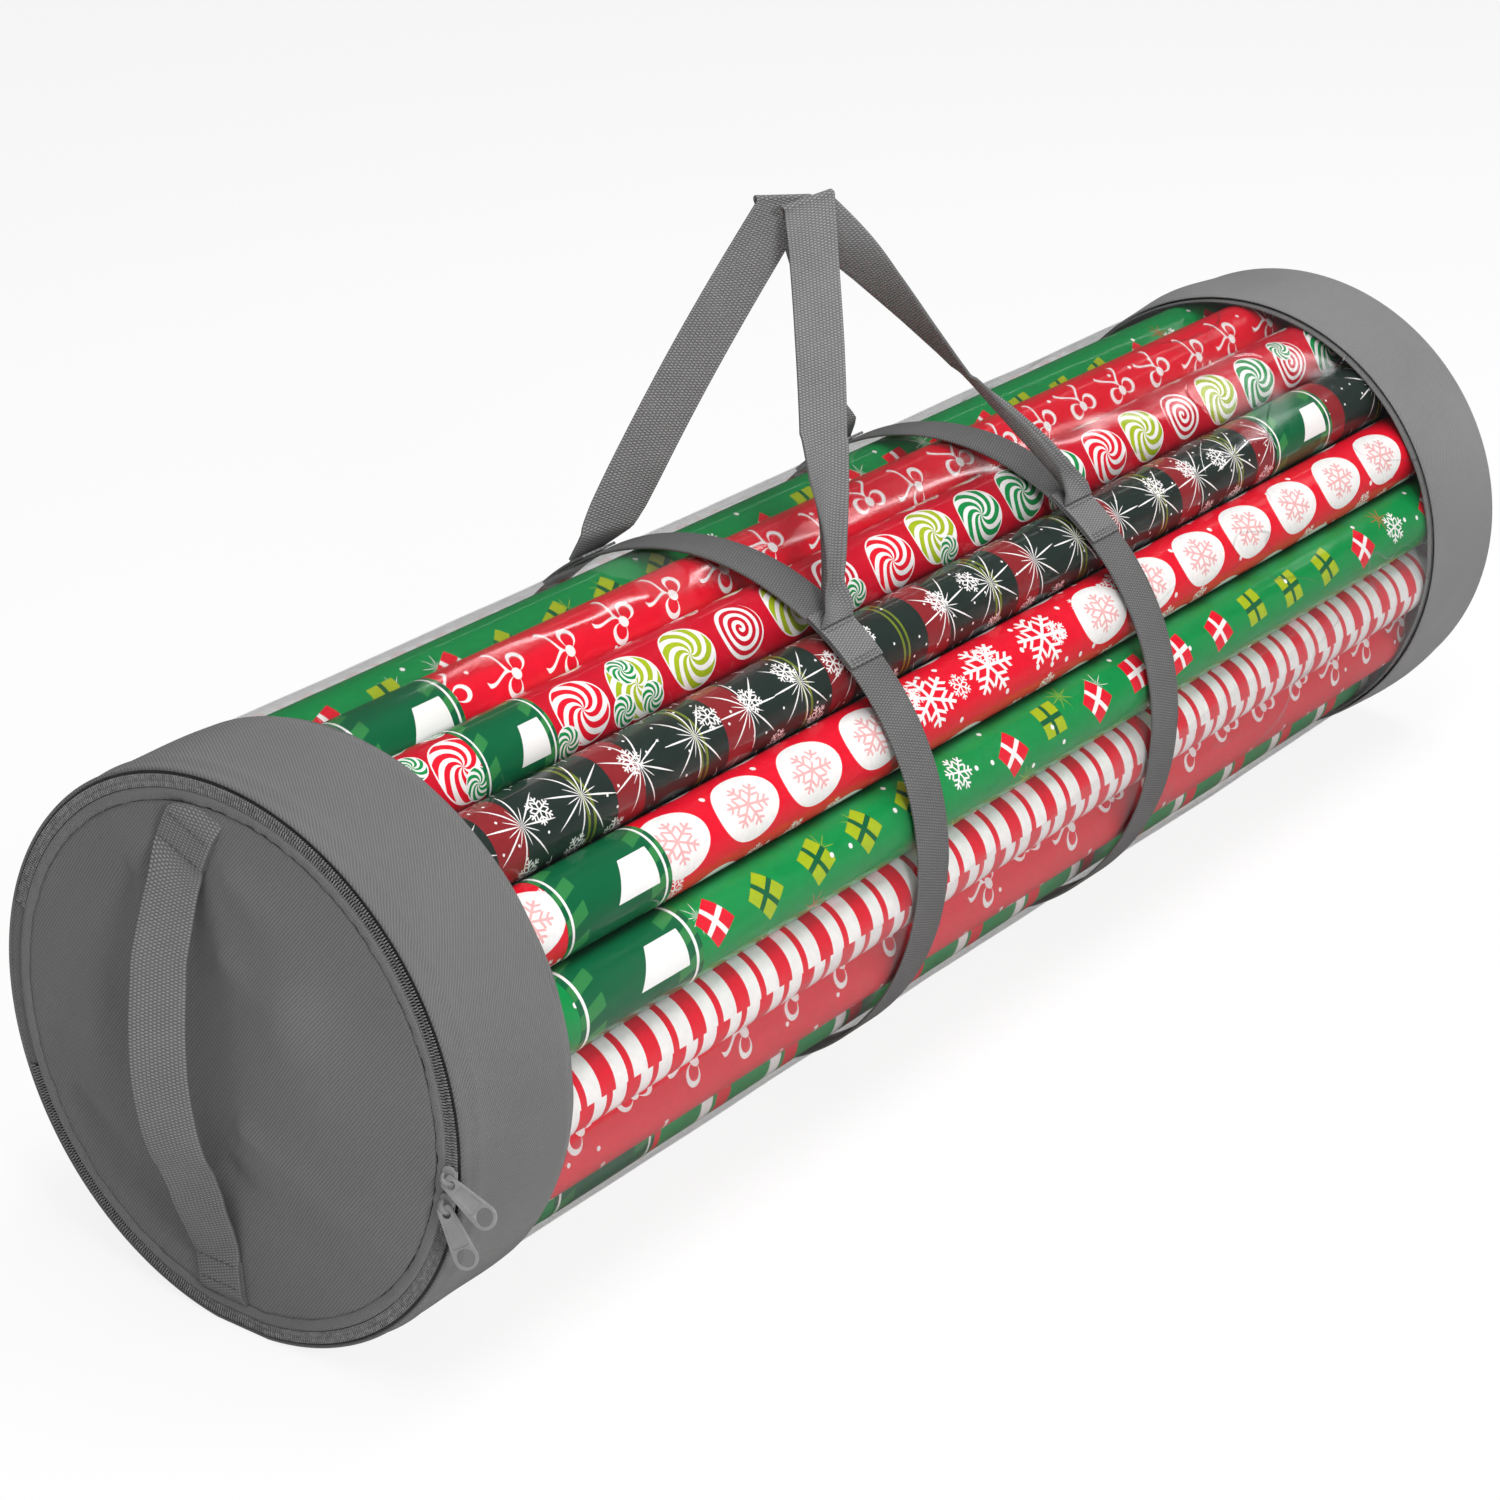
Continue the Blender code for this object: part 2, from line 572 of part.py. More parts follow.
def make_carry_handles():
    """Two webbing handles, each hinged where it leaves its sewn tabs."""
    straps = (("front", FRONT_STRAP_FROM_RIM), ("rear", REAR_STRAP_FROM_RIM))
    for name, side, apex_y in (("near", -1, NEAR_HANDLE_LEAN), ("far", 1, FAR_HANDLE_LEAN)):
        for strap, centre in straps:
            link(name + "_handle_tab_" + strap, handle_tab(side, centre), webbing, root)
        y, z = polar(HANDLE_AXIS_RADIUS, HANDLE_ROOT_ANGLE)
        pivot = joint_empty(name + "_handle_pivot", (FRONT_STRAP_FROM_RIM, side * y, z), root)
        link(name + "_carry_handle", ribbon(handle_pairs(side, apex_y), WEBBING_WALL), webbing, pivot)


def make_rolls():
    """Gift wrap rolls packed side by side round the inside of the tube."""
    sine = math.sin(math.pi / ROLL_COUNT)
    centre = ROLL_RING / (1 + sine)
    radius = centre * sine - GAP / 2
    start = (BAG_LENGTH - ROLL_LENGTH) / 2
    core = radius - ROLL_CORE_WALL
    profile = [(start, radius), (start + ROLL_LENGTH, radius), (start + ROLL_LENGTH, core), (start, core)]
    shared = turned(profile, ROLL_STEPS)
    for index in range(ROLL_COUNT):
        angle = ROLL_PHASE - math.pi / 2 + math.pi * (2 * index + 1) / ROLL_COUNT
        mesh = shared.copy()
        roll = link(f"wrap_roll_{index + 1:02d}", mesh, paper[ROLL_PAPERS[index % len(ROLL_PAPERS)]], root)
        y, z = polar(centre, angle)
        roll.location += Vector((0, y, z))


def set_down():
    """Move the whole assembly so that the middle of its base is the origin."""
    bpy.context.view_layer.update()
    graph = bpy.context.evaluated_depsgraph_get()
    corners = []
    for piece in bag.objects:
        if piece.type == "MESH":
            done = piece.evaluated_get(graph)
            corners += [done.matrix_world @ vertex.co for vertex in done.data.vertices]
    low = Vector(min(c[i] for c in corners) for i in range(3))
    high = Vector(max(c[i] for c in corners) for i in range(3))
    root.location = (-(low.x + high.x) / 2, -(low.y + high.y) / 2, -low.z)


for old in list(bpy.data.objects):
    bpy.data.objects.remove(old)

bag = bpy.data.collections.new("gift_wrap_storage_bag")
workbench = bpy.data.collections.new("workbench")
for collection in (bag, workbench):
    bpy.context.scene.collection.children.link(collection)

band_cloth = material("band cloth", (0.16, 0.16, 0.165), 0.9)
rear_cloth = material("rear cloth", (0.22, 0.22, 0.225), 0.9)
lid_cloth = material("lid cloth", (0.11, 0.11, 0.115), 0.9)
binding_cloth = material("binding cloth", (0.15, 0.15, 0.155), 0.9)
tape_cloth = material("zip tape", (0.12, 0.12, 0.125), 0.9)
webbing = material("webbing", (0.14, 0.14, 0.14), 0.85)
film = material("clear film", (0.9, 0.93, 0.95), 0.08, alpha=0.2)
zip_teeth = material("zip teeth", (0.12, 0.12, 0.12), 0.5)
zip_metal = material("painted zip metal", (0.2, 0.2, 0.2), 0.4, metallic=0.6)
paper = {"red": material("red paper", (0.65, 0.02, 0.04), 0.35),
         "green": material("green paper", (0.02, 0.28, 0.08), 0.35),
         "white": material("white paper", (0.8, 0.78, 0.76), 0.35)}

root = joint_empty("bag_root", (0, 0, 0), None)
lid = joint_empty("lid_hinge", (TAPE_FRONT - HINGE_LINE_GAP, HINGE_LINE, 0), root)

make_bands()
make_film_tube()
make_seam_bindings()
make_rear_end()
make_girth_straps()
make_zip()
make_hinge_gusset()
make_lid_panel()
make_grab_handle()
make_sliders()
make_carry_handles()
make_rolls()
set_down()
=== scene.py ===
import json
import math
import random

import bmesh
import bpy
from mathutils import Matrix, Vector, noise


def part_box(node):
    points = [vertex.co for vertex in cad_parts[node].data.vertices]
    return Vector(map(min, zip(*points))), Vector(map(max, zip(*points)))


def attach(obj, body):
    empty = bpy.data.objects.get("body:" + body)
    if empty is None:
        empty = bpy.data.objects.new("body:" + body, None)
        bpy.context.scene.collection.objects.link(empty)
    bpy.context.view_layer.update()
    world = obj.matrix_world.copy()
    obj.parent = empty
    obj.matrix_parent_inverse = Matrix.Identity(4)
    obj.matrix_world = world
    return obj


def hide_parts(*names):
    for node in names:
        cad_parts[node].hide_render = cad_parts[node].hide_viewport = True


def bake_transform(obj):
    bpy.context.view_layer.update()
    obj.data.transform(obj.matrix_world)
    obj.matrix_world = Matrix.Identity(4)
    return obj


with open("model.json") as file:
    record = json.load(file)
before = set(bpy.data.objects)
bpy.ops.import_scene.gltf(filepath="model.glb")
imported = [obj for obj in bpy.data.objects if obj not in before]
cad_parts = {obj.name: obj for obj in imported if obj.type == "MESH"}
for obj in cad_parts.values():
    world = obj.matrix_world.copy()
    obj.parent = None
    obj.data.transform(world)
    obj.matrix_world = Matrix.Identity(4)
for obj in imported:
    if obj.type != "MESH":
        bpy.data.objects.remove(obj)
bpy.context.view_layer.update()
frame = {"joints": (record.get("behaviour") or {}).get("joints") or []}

# The room is a plain pale floor under soft light. The camera stands where the
# photo was taken from, ahead of the lid and a little above it.
CAMERA_PLACE = (-1.59521, -1.12113, 0.9918)
CAMERA_AIM = (0.7332, 0.5495, -0.4006)
CAMERA_LENS = 88.25
CAMERA_SENSOR = 36.0
FLOOR_SIZE = 30.0
FLOOR_DROP = 0.0004
FLOOR_WHITE = (0.93, 0.93, 0.93, 1)
FLOOR_CLEAN_SHARE = 0.86
FLOOR_MIRRORED_SHARE = 0.24
SKY_GREY = (0.88, 0.88, 0.88, 1)
PURE_WHITE = (1, 1, 1, 1)
SOFT_SKY = 0.28
MIRRORED_SKY = 0.06


def wire(tree, kind, inputs=(), **settings):
    """Add a shader node, set it, and fill its inputs with values or other nodes' sockets."""
    node = tree.nodes.new("ShaderNode" + kind)
    for name, value in settings.items():
        setattr(node, name, value)
    pairs = inputs.items() if isinstance(inputs, dict) else enumerate(inputs)
    for key, value in pairs:
        if isinstance(value, bpy.types.NodeSocket):
            tree.links.new(value, node.inputs[key])
        elif value is not None:
            node.inputs[key].default_value = value
    return node


def maths(tree, operation, *values):
    """The result of one sum on numbers or sockets."""
    return wire(tree, "Math", values, operation=operation).outputs[0]


def shaded(tree, colour, share):
    """A colour darkened or lightened by a share that changes over the surface."""
    grey = wire(tree, "CombineColor", (share, share, share)).outputs[0]
    mix = wire(tree, "Mix", {0: 1.0, 6: colour, 7: grey}, data_type="RGBA", blend_type="MULTIPLY")
    return mix.outputs[2]


def from_camera(tree):
    """1 where a ray comes straight from the camera or through something clear."""
    ray = wire(tree, "LightPath").outputs
    return maths(tree, "MAXIMUM", ray["Is Camera Ray"], ray["Is Transmission Ray"])


camera_data = bpy.data.cameras.new("photo_camera")
camera_data.lens = CAMERA_LENS
camera_data.sensor_width = CAMERA_SENSOR
camera = bpy.data.objects.new("photo_camera", camera_data)
camera.location = CAMERA_PLACE
camera.rotation_euler = Vector(CAMERA_AIM).to_track_quat("-Z", "Y").to_euler()
bpy.context.scene.collection.objects.link(camera)
bpy.context.scene.camera = camera
bpy.context.scene.view_settings.view_transform = "Standard"

world = bpy.data.worlds.new("studio")
bpy.context.scene.world = world
world.use_nodes = True
sky = world.node_tree
sky.nodes.clear()
dark_studio = wire(sky, "Background", (SKY_GREY, MIRRORED_SKY))
soft_sky = wire(sky, "Background", (SKY_GREY, SOFT_SKY))
mirror_ray = wire(sky, "LightPath").outputs["Is Glossy Ray"]
lit_sky = wire(sky, "MixShader", (mirror_ray, soft_sky.outputs[0], dark_studio.outputs[0]))
white_sky = wire(sky, "Background", (PURE_WHITE, 1.0))
seen_sky = wire(sky, "MixShader", (from_camera(sky), lit_sky.outputs[0], white_sky.outputs[0]))
wire(sky, "OutputWorld", (seen_sky.outputs[0],))

floor_paint = bpy.data.materials.new("floor_paint")
floor_paint.use_nodes = True
paint = floor_paint.node_tree
paint.nodes.clear()
mirrored = wire(paint, "LightPath").outputs["Is Glossy Ray"]
tone = maths(paint, "MULTIPLY_ADD", mirrored, FLOOR_MIRRORED_SHARE - 1, 1.0)
matt = wire(paint, "BsdfDiffuse", (shaded(paint, FLOOR_WHITE, tone),))
clean = wire(paint, "Emission", (PURE_WHITE, 1.0))
clean_share = maths(paint, "MULTIPLY", from_camera(paint), FLOOR_CLEAN_SHARE)
mixed = wire(paint, "MixShader", (clean_share, matt.outputs[0], clean.outputs[0]))
wire(paint, "OutputMaterial", (mixed.outputs[0],))

bpy.ops.mesh.primitive_plane_add(size=FLOOR_SIZE, location=(0, 0, -FLOOR_DROP))
floor = bpy.context.object
floor.name = "floor"
floor.data.materials.append(floor_paint)

# Only the thin glint strip shows in the film, as a line of light along the tube.
LAMPS = {
    "overhead_softbox": ((0.2, -0.45, 2.2), (0.1, 0.0, 0.15), (2.6, 0.9), 42.0),
    "side_softbox": ((-1.5, -2.1, 1.5), (0.0, 0.0, 0.15), (0.5, 0.5), 33.0),
    "rear_softbox": ((2.2, -1.8, 1.3), (0.5, 0.0, 0.15), (0.8, 0.8), 12.0),
    "front_softbox": ((-1.7, -0.7, 2.3), (-0.5, 0.0, 0.15), (0.7, 0.7), 11.0),
    "glint_strip": ((2.6, 0.62, 1.85), (0.1, 0.0, 0.15), (3.4, 0.05), 1.8),
}
for name, (place, target, size, power) in LAMPS.items():
    lamp_data = bpy.data.lights.new(name, "AREA")
    lamp_data.shape = "RECTANGLE"
    lamp_data.size, lamp_data.size_y = size
    lamp_data.energy = power
    lamp = bpy.data.objects.new(name, lamp_data)
    lamp.location = place
    lamp.rotation_euler = (Vector(target) - Vector(place)).to_track_quat("-Z", "Y").to_euler()
    lamp.visible_glossy = name == "glint_strip"
    bpy.context.scene.collection.objects.link(lamp)

# The two end bands are strips of grey polyester twill, sewn into rings. The
# front one folds in at the rim, where the zip is sewn, and both hold the film.
band_low, band_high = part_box("front_band")
RIM_RADIUS = (band_high.y - band_low.y) / 2
BAG_PLACE = Vector((band_low.x, (band_low.y + band_high.y) / 2, band_high.z - RIM_RADIUS))
BAND_WALL = 0.0011
BAND_STEPS = 220
TWILL_PITCH = 0.0015
TWILL_SLANT = (0.80, 0.60)
TWILL_RELIEF = 0.0006
CLOTH_GREY = (0.132, 0.132, 0.132, 1)
# The rear band and the closed end take the same twill in a lighter grey: painted light, for the brighter
# light on that end of the bag.
REAR_PAINTED_LIGHT_GREY = (0.190, 0.190, 0.190, 1)


def span_of(node):
    """Where a solid starts and ends along the bag, from the rim."""
    low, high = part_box(node)
    return low.x - BAG_PLACE.x, high.x - BAG_PLACE.x


def radius_of(node):
    """Half the width of a round solid."""
    low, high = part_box(node)
    return (high.y - low.y) / 2


FRONT_SEAM = span_of("front_band")[1]
REAR_SEAM, BAG_LENGTH = span_of("rear_band")
STRAP_RADIUS = radius_of("girth_strap_front")


def open_group(name, inputs, outputs):
    """Start a shader group; its given values and its results to fill are handed back."""
    tree = bpy.data.node_groups.new(name, "ShaderNodeTree")
    for label, kind in inputs.items():
        tree.interface.new_socket(label, in_out="INPUT", socket_type="NodeSocket" + kind)
    for label, kind in outputs.items():
        tree.interface.new_socket(label, in_out="OUTPUT", socket_type="NodeSocket" + kind)
    given = tree.nodes.new("NodeGroupInput").outputs
    result = tree.nodes.new("NodeGroupOutput").inputs
    return tree, given, result


def parted(tree, vector):
    """A vector's three numbers."""
    return wire(tree, "SeparateXYZ", (vector,)).outputs


def speckle(tree, place, scale, detail, distortion=0.0):
    """Noise from 0 to 1 that changes with a place."""
    inputs = {"Vector": place, "Scale": scale, "Detail": detail, "Distortion": distortion}
    return wire(tree, "TexNoise", inputs).outputs[0]


def cloth_map(tree):
    """The place on the cloth as it lay flat, in metres."""
    return wire(tree, "UVMap", uv_map="cloth").outputs[0]


def make_twill():
    """Fine diagonal ribs crossed by the picks, with faint wear and dust in patches."""
    inputs = {"Cloth": "Vector", "Colour": "Color", "Pitch": "Float"}
    tree, given, result = open_group("twill_weave", inputs, {"Colour": "Color", "Height": "Float"})
    place = parted(tree, given["Cloth"])
    uneven = speckle(tree, given["Cloth"], 190.0, 2.0)
    patches = speckle(tree, given["Cloth"], 16.0, 4.0)
    up = maths(tree, "MULTIPLY", place[0], TWILL_SLANT[0])
    down = maths(tree, "MULTIPLY", place[1], TWILL_SLANT[1])
    turn = maths(tree, "DIVIDE", math.tau, given["Pitch"])
    diagonal = maths(tree, "MULTIPLY", maths(tree, "ADD", up, down), turn)
    rib = maths(tree, "SINE", maths(tree, "MULTIPLY_ADD", uneven, 1.1, diagonal))
    crossing = maths(tree, "MULTIPLY", maths(tree, "SUBTRACT", place[0], place[1]), turn)
    pick = maths(tree, "SINE", maths(tree, "MULTIPLY", crossing, 1.4))
    height = maths(tree, "MULTIPLY_ADD", rib, 0.36, 0.5)
    height = maths(tree, "MULTIPLY_ADD", pick, 0.14, height)
    share = maths(tree, "MULTIPLY_ADD", height, 0.52, 0.58)
    share = maths(tree, "MULTIPLY_ADD", patches, 0.20, share)
    share = maths(tree, "MULTIPLY_ADD", uneven, 0.07, share)
    tree.links.new(shaded(tree, given["Colour"], share), result["Colour"])
    tree.links.new(height, result["Height"])
    return tree


twill = make_twill()


def new_finish(name, roughness, **values):
    """A material with one Principled shader; its tree and shader come with it."""
    finish = bpy.data.materials.new(name)
    finish.use_nodes = True
    shader = finish.node_tree.nodes["Principled BSDF"]
    shader.inputs["Roughness"].default_value = roughness
    for label, value in values.items():
        shader.inputs[label.replace("_", " ")].default_value = value
    return finish, finish.node_tree, shader


def raise_surface(tree, shader, height, depth, strength, socket="Normal"):
    """Feed a height, from 0 to 1, to the shader as relief of a real depth."""
    bump = wire(tree, "Bump", {"Strength": strength, "Distance": depth, "Height": height})
    tree.links.new(bump.outputs[0], shader.inputs[socket])


def twill_cloth(name, grey, pitch=TWILL_PITCH):
    """Matt polyester twill in one grey."""
    finish, tree, shader = new_finish(name, 0.82, Specular_IOR_Level=0.25, Sheen_Weight=0.12)
    inputs = {"Cloth": cloth_map(tree), "Colour": grey, "Pitch": pitch}
    weave = wire(tree, "Group", inputs, node_tree=twill).outputs
    tree.links.new(weave["Colour"], shader.inputs["Base Color"])
    raise_surface(tree, shader, weave["Height"], TWILL_RELIEF, 0.5)
    return finish


def settle(point):
    """Keep a point of the bag off the floor that the straps rest on."""
    lowest = STRAP_RADIUS - math.hypot(point.y, point.z) - BAG_PLACE.z
    point.z = max(point.z, lowest)


def angle_of(point):
    """A point's angle about the bag's axis."""
    return math.atan2(point.z, point.y)


def swell_out(work, reach):
    """Set each point's distance from the axis, given its place along, its angle and its distance."""
    for vert in work.verts:
        x, y, z = vert.co
        radius = math.hypot(y, z)
        grown = reach(x, angle_of(vert.co), radius)
        vert.co.y, vert.co.z = y * grown / radius, z * grown / radius
        settle(vert.co)


def corners_round(face):
    """A face's corners, each with its angle about the axis, kept whole across the seam."""
    facing = angle_of(face.calc_center_median())
    for loop in face.loops:
        angle = angle_of(loop.vert.co)
        yield loop, angle + math.tau * round((facing - angle) / math.tau)


def map_wrapped(work, radius):
    """Map a turned piece in metres: along the axis, and round it at one radius."""
    layer = work.loops.layers.uv.new("cloth")
    for face in work.faces:
        for loop, angle in corners_round(face):
            loop[layer].uv = (loop.vert.co.x, angle * radius)


def map_flat(work):
    """Map a piece in metres as the lid lies, across and up."""
    layer = work.loops.layers.uv.new("cloth")
    for face in work.faces:
        for loop in face.loops:
            loop[layer].uv = (loop.vert.co.y, loop.vert.co.z)


def turn_strip(stations, steps, start=0.0, sweep=math.tau, closed=False):
    """Turn a line of (x, radius) stations about the bag's axis."""
    work = bmesh.new()
    line = [work.verts.new((x, radius * math.cos(start), radius * math.sin(start)))
            for x, radius in stations]
    pairs = list(zip(line, line[1:])) + ([(line[-1], line[0])] if closed else [])
    profile = line + [work.edges.new(pair) for pair in pairs]
    full = sweep > math.tau - 0.001
    bmesh.ops.spin(work, geom=profile, cent=(0, 0, 0), axis=(1, 0, 0), angle=sweep, steps=steps,
                   use_merge=full)
    bmesh.ops.remove_doubles(work, verts=work.verts, dist=0.00001)
    bmesh.ops.recalc_face_normals(work, faces=work.faces)
    return work


def set_out(name, work, finish, wall=0.0, offset=-1.0, bevel=0.0):
    """Put a mesh made round the bag's rim centre in its place, smooth, with a wall."""
    bmesh.ops.translate(work, verts=work.verts, vec=BAG_PLACE)
    mesh = bpy.data.meshes.new(name)
    work.to_mesh(mesh)
    work.free()
    mesh.shade_smooth()
    for each in finish if isinstance(finish, list) else [finish]:
        mesh.materials.append(each)
    piece = bpy.data.objects.new(name, mesh)
    bpy.context.scene.collection.objects.link(piece)
    if wall:
        solid = piece.modifiers.new("wall", "SOLIDIFY")
        solid.thickness = wall
        solid.offset = offset
        solid.use_even_offset = True
    if bevel:
        edge = piece.modifiers.new("edge", "BEVEL")
        edge.width = bevel
        edge.segments = 2
        edge.limit_method = "ANGLE"
        edge.angle_limit = math.radians(50)
    return piece


def hand_over(piece, body, finish_slot, *nodes):
    """Fix a piece to the body it rides on and hide the solids it stands for. The finish slot is not used."""
    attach(piece, body)
    if nodes:
        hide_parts(*nodes)


def band_stations(start, end, folds):
    """Across a band, with a small roll-over where each edge is folded under."""
    turn_in = [(start + 0.0030, RIM_RADIUS - 0.0020), (start + 0.0010, RIM_RADIUS - 0.0019),
               (start, RIM_RADIUS - 0.0012), (start + 0.0004, RIM_RADIUS - 0.0004)]
    flat = end - start - 0.0030
    across = [(start + 0.0015 + flat * i / folds, RIM_RADIUS) for i in range(folds + 1)]
    turn_under = [(end - 0.0003, RIM_RADIUS - 0.0003), (end, RIM_RADIUS - 0.0009)]
    return turn_in, across, turn_under


def front_band_reach(x, angle, radius):
    """Soft swells between the seams, a ridge over the zip's allowance and a dip beside it."""
    share = min(max((x - 0.003) / (FRONT_SEAM - 0.006), 0), 1)
    full = math.sin(math.pi * share) ** 0.7
    swell = 0.0011 * math.sin(5 * angle + 0.8) + 0.0007 * math.sin(8 * angle - 2.1 + 30 * x)
    swell += 0.0013 * noise.noise(Vector((x * 24, math.cos(angle) * 2.3, math.sin(angle) * 2.3)))
    ridge = 0.0007 * math.exp(-((x - 0.0125) / 0.0022) ** 2)
    dip = -0.0004 * math.exp(-((x - 0.0070) / 0.0026) ** 2)
    return radius + (0.0004 + swell) * full * (radius > RIM_RADIUS - 0.0001) + ridge + dip


def make_front_band():
    """The lid's band, with the zip's seam allowance showing as a soft ridge."""
    turn_in, across, turn_under = band_stations(0.0, FRONT_SEAM, 22)
    work = turn_strip(turn_in + across + turn_under, BAND_STEPS)
    swell_out(work, front_band_reach)
    map_wrapped(work, RIM_RADIUS)
    band = set_out("front_band_cloth", work, band_cloth, BAND_WALL)
    hand_over(band, "root", "band_cloth", "front_band")


def rear_band_reach(x, angle, radius):
    """Soft lobes, fullest a little before the middle of the band."""
    share = min(max((x - REAR_SEAM) / (BAG_LENGTH - REAR_SEAM), 0), 1)
    full = math.sin(math.pi * min(share * 1.08, 1)) ** 0.8
    lobes = 0.0016 * math.sin(7 * angle + 0.4)
    lobes += 0.0012 * math.sin(11 * angle + 2.0 + 18 * (x - REAR_SEAM))
    lobes += 0.0016 * noise.noise(Vector((x * 20, math.cos(angle) * 2.6, math.sin(angle) * 2.6 + 4)))
    return radius + (0.0010 + lobes) * full


def make_rear_band():
    """The closed end's band, slack enough to stand out in soft lobes."""
    turn_in, across, turn_under = band_stations(REAR_SEAM, BAG_LENGTH, 20)
    mirrored = [(REAR_SEAM + BAG_LENGTH - x, radius) for x, radius in turn_in + across + turn_under]
    work = turn_strip(mirrored, BAND_STEPS)
    swell_out(work, rear_band_reach)
    map_wrapped(work, RIM_RADIUS)
    band = set_out("rear_band_cloth", work, rear_cloth, BAND_WALL)
    hand_over(band, "root", "rear_cloth", "rear_band")


band_cloth = twill_cloth("band_twill", CLOTH_GREY)
# The rear twill is the same cloth painted lighter: painted light.
rear_cloth = twill_cloth("rear_twill_painted_light", REAR_PAINTED_LIGHT_GREY)
make_front_band()
make_rear_band()

# The tube between the bands is one sheet of clear vinyl. It is loose enough to
# ripple over the rolls, and its cut ends lie inside the bands.
FILM_RADIUS = radius_of("clear_tube")
FILM_START, FILM_END = span_of("clear_tube")
FILM_WALL = 0.0005
FILM_ROWS = 96
FILM_STEPS = 216
FILM_TINT = (0.97, 0.98, 0.99, 1)
FILM_SHINE_FACE_ON = 0.035
FILM_SHINE_AT_SLANT = 0.30
FILM_CREASE_SHINE = 0.34
FILM_RELIEF = 0.003
HELD_LENGTH = 0.022
strap_boxes = [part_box("girth_strap_front"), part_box("girth_strap_rear")]
STRAP_PLACES = [(low.x + high.x) / 2 - BAG_PLACE.x for low, high in strap_boxes]


def object_place(tree):
    """The place on the whole piece, in metres."""
    return wire(tree, "TexCoord").outputs["Object"]


def spread(tree, value, low, high, start, end, **settings):
    """Turn a value's run from low to high into one from start to end."""
    return wire(tree, "MapRange", (value, low, high, start, end), **settings).outputs[0]


def stretched(tree, place, scale, turn=0.0):
    """A place drawn out along the bag by a scale under 1, and turned about the upright."""
    inputs = {"Vector": place, "Scale": (scale, 1.0, 1.0), "Rotation": (0, 0, turn)}
    return wire(tree, "Mapping", inputs).outputs[0]


def make_film_finish():
    """Film that mirrors a little of the room face on and more at a slant."""
    finish, tree, shader = new_finish("clear_vinyl", 0.07, Metallic=1.0)
    shader.inputs["Base Color"].default_value = FILM_TINT
    place = object_place(tree)
    along = parted(tree, place)[0]
    ripples = speckle(tree, stretched(tree, place, 0.35), 24.0, 1.0)
    smudges = speckle(tree, place, 11.0, 5.0)
    tree.links.new(spread(tree, smudges, 0.35, 0.75, 0.04, 0.13), shader.inputs["Roughness"])
    drift = speckle(tree, stretched(tree, place, 0.45, 0.25), 10.0, 2.0, 1.2)
    apart = maths(tree, "ABSOLUTE", maths(tree, "SUBTRACT", drift, 0.5))
    crease = spread(tree, apart, 0.0, 0.009, 1.0, 0.0)
    crease = maths(tree, "MULTIPLY", crease, spread(tree, along, 0.0, 0.45, 0.05, 1.0))
    broken = speckle(tree, place, 26.0, 2.0)
    crease = maths(tree, "MULTIPLY", crease, spread(tree, broken, 0.42, 0.6, 0.0, 1.0))
    slant = wire(tree, "LayerWeight", (0.10,)).outputs["Fresnel"]
    shine = spread(tree, slant, 0.0, 1.0, FILM_SHINE_FACE_ON, FILM_SHINE_AT_SLANT)
    shine = maths(tree, "ADD", shine, spread(tree, along, 0.5, 1.0, 0.0, 0.06))
    shine = maths(tree, "MULTIPLY_ADD", crease, FILM_CREASE_SHINE, shine)
    tree.links.new(shine, shader.inputs["Alpha"])
    height = maths(tree, "MULTIPLY_ADD", crease, 0.15, ripples)
    raise_surface(tree, shader, height, FILM_RELIEF, 0.15)
    return finish


def film_reach(x, angle, radius):
    """Long ripples that die away where straps and seams hold the film."""
    held = 1.0
    for place in STRAP_PLACES + [FRONT_SEAM - 0.01, REAR_SEAM + 0.01]:
        held *= 1 - math.exp(-((x - place) / HELD_LENGTH) ** 2)
    ripple = noise.noise(Vector((x * 7, math.cos(angle) * 4, math.sin(angle) * 4)))
    ripple += 0.5 * noise.noise(Vector((x * 19 + 7, math.cos(angle) * 9, math.sin(angle) * 9)))
    return radius + held * (0.0002 + 0.0009 * ripple)


def make_film():
    """The tube, pushed in and out in long ripples."""
    length = FILM_END - FILM_START
    stations = [(FILM_START + length * i / FILM_ROWS, FILM_RADIUS) for i in range(FILM_ROWS + 1)]
    work = turn_strip(stations, FILM_STEPS)
    swell_out(work, film_reach)
    map_wrapped(work, FILM_RADIUS)
    film = set_out("clear_film", work, clear_vinyl, FILM_WALL)
    hand_over(film, "root", "clear_film", "clear_tube")


clear_vinyl = make_film_finish()
make_film()

# Inside each seam a woven tape binds the raw edges of band and film. It shows
# through the film as a narrow strip beside the band.
BINDING_WALL = 0.0007
BINDING_PITCH = 0.0011
BINDING_GREY = (0.16, 0.16, 0.16, 1)
binding_cloth = twill_cloth("binding_tape", BINDING_GREY, BINDING_PITCH)


def make_seam_bindings():
    """Two flat rings of tape, a little wavy along their free edge."""
    for end in ("front", "rear"):
        start, stop = span_of(end + "_seam_binding")
        outer = radius_of(end + "_seam_binding")
        free = stop if end == "front" else start
        work = turn_strip([(start + (stop - start) * i / 6, outer) for i in range(7)], 200)
        for vert in work.verts:
            slack = max(0, 1 - abs(vert.co.x - free) / (stop - start))
            vert.co.x += 0.0006 * slack * noise.noise(Vector((angle_of(vert.co) * 6, 0, 0)))
            settle(vert.co)
        map_wrapped(work, outer)
        binding = set_out(end + "_binding_tape", work, binding_cloth, BINDING_WALL)
        hand_over(binding, "root", "binding_cloth", end + "_seam_binding")


make_seam_bindings()

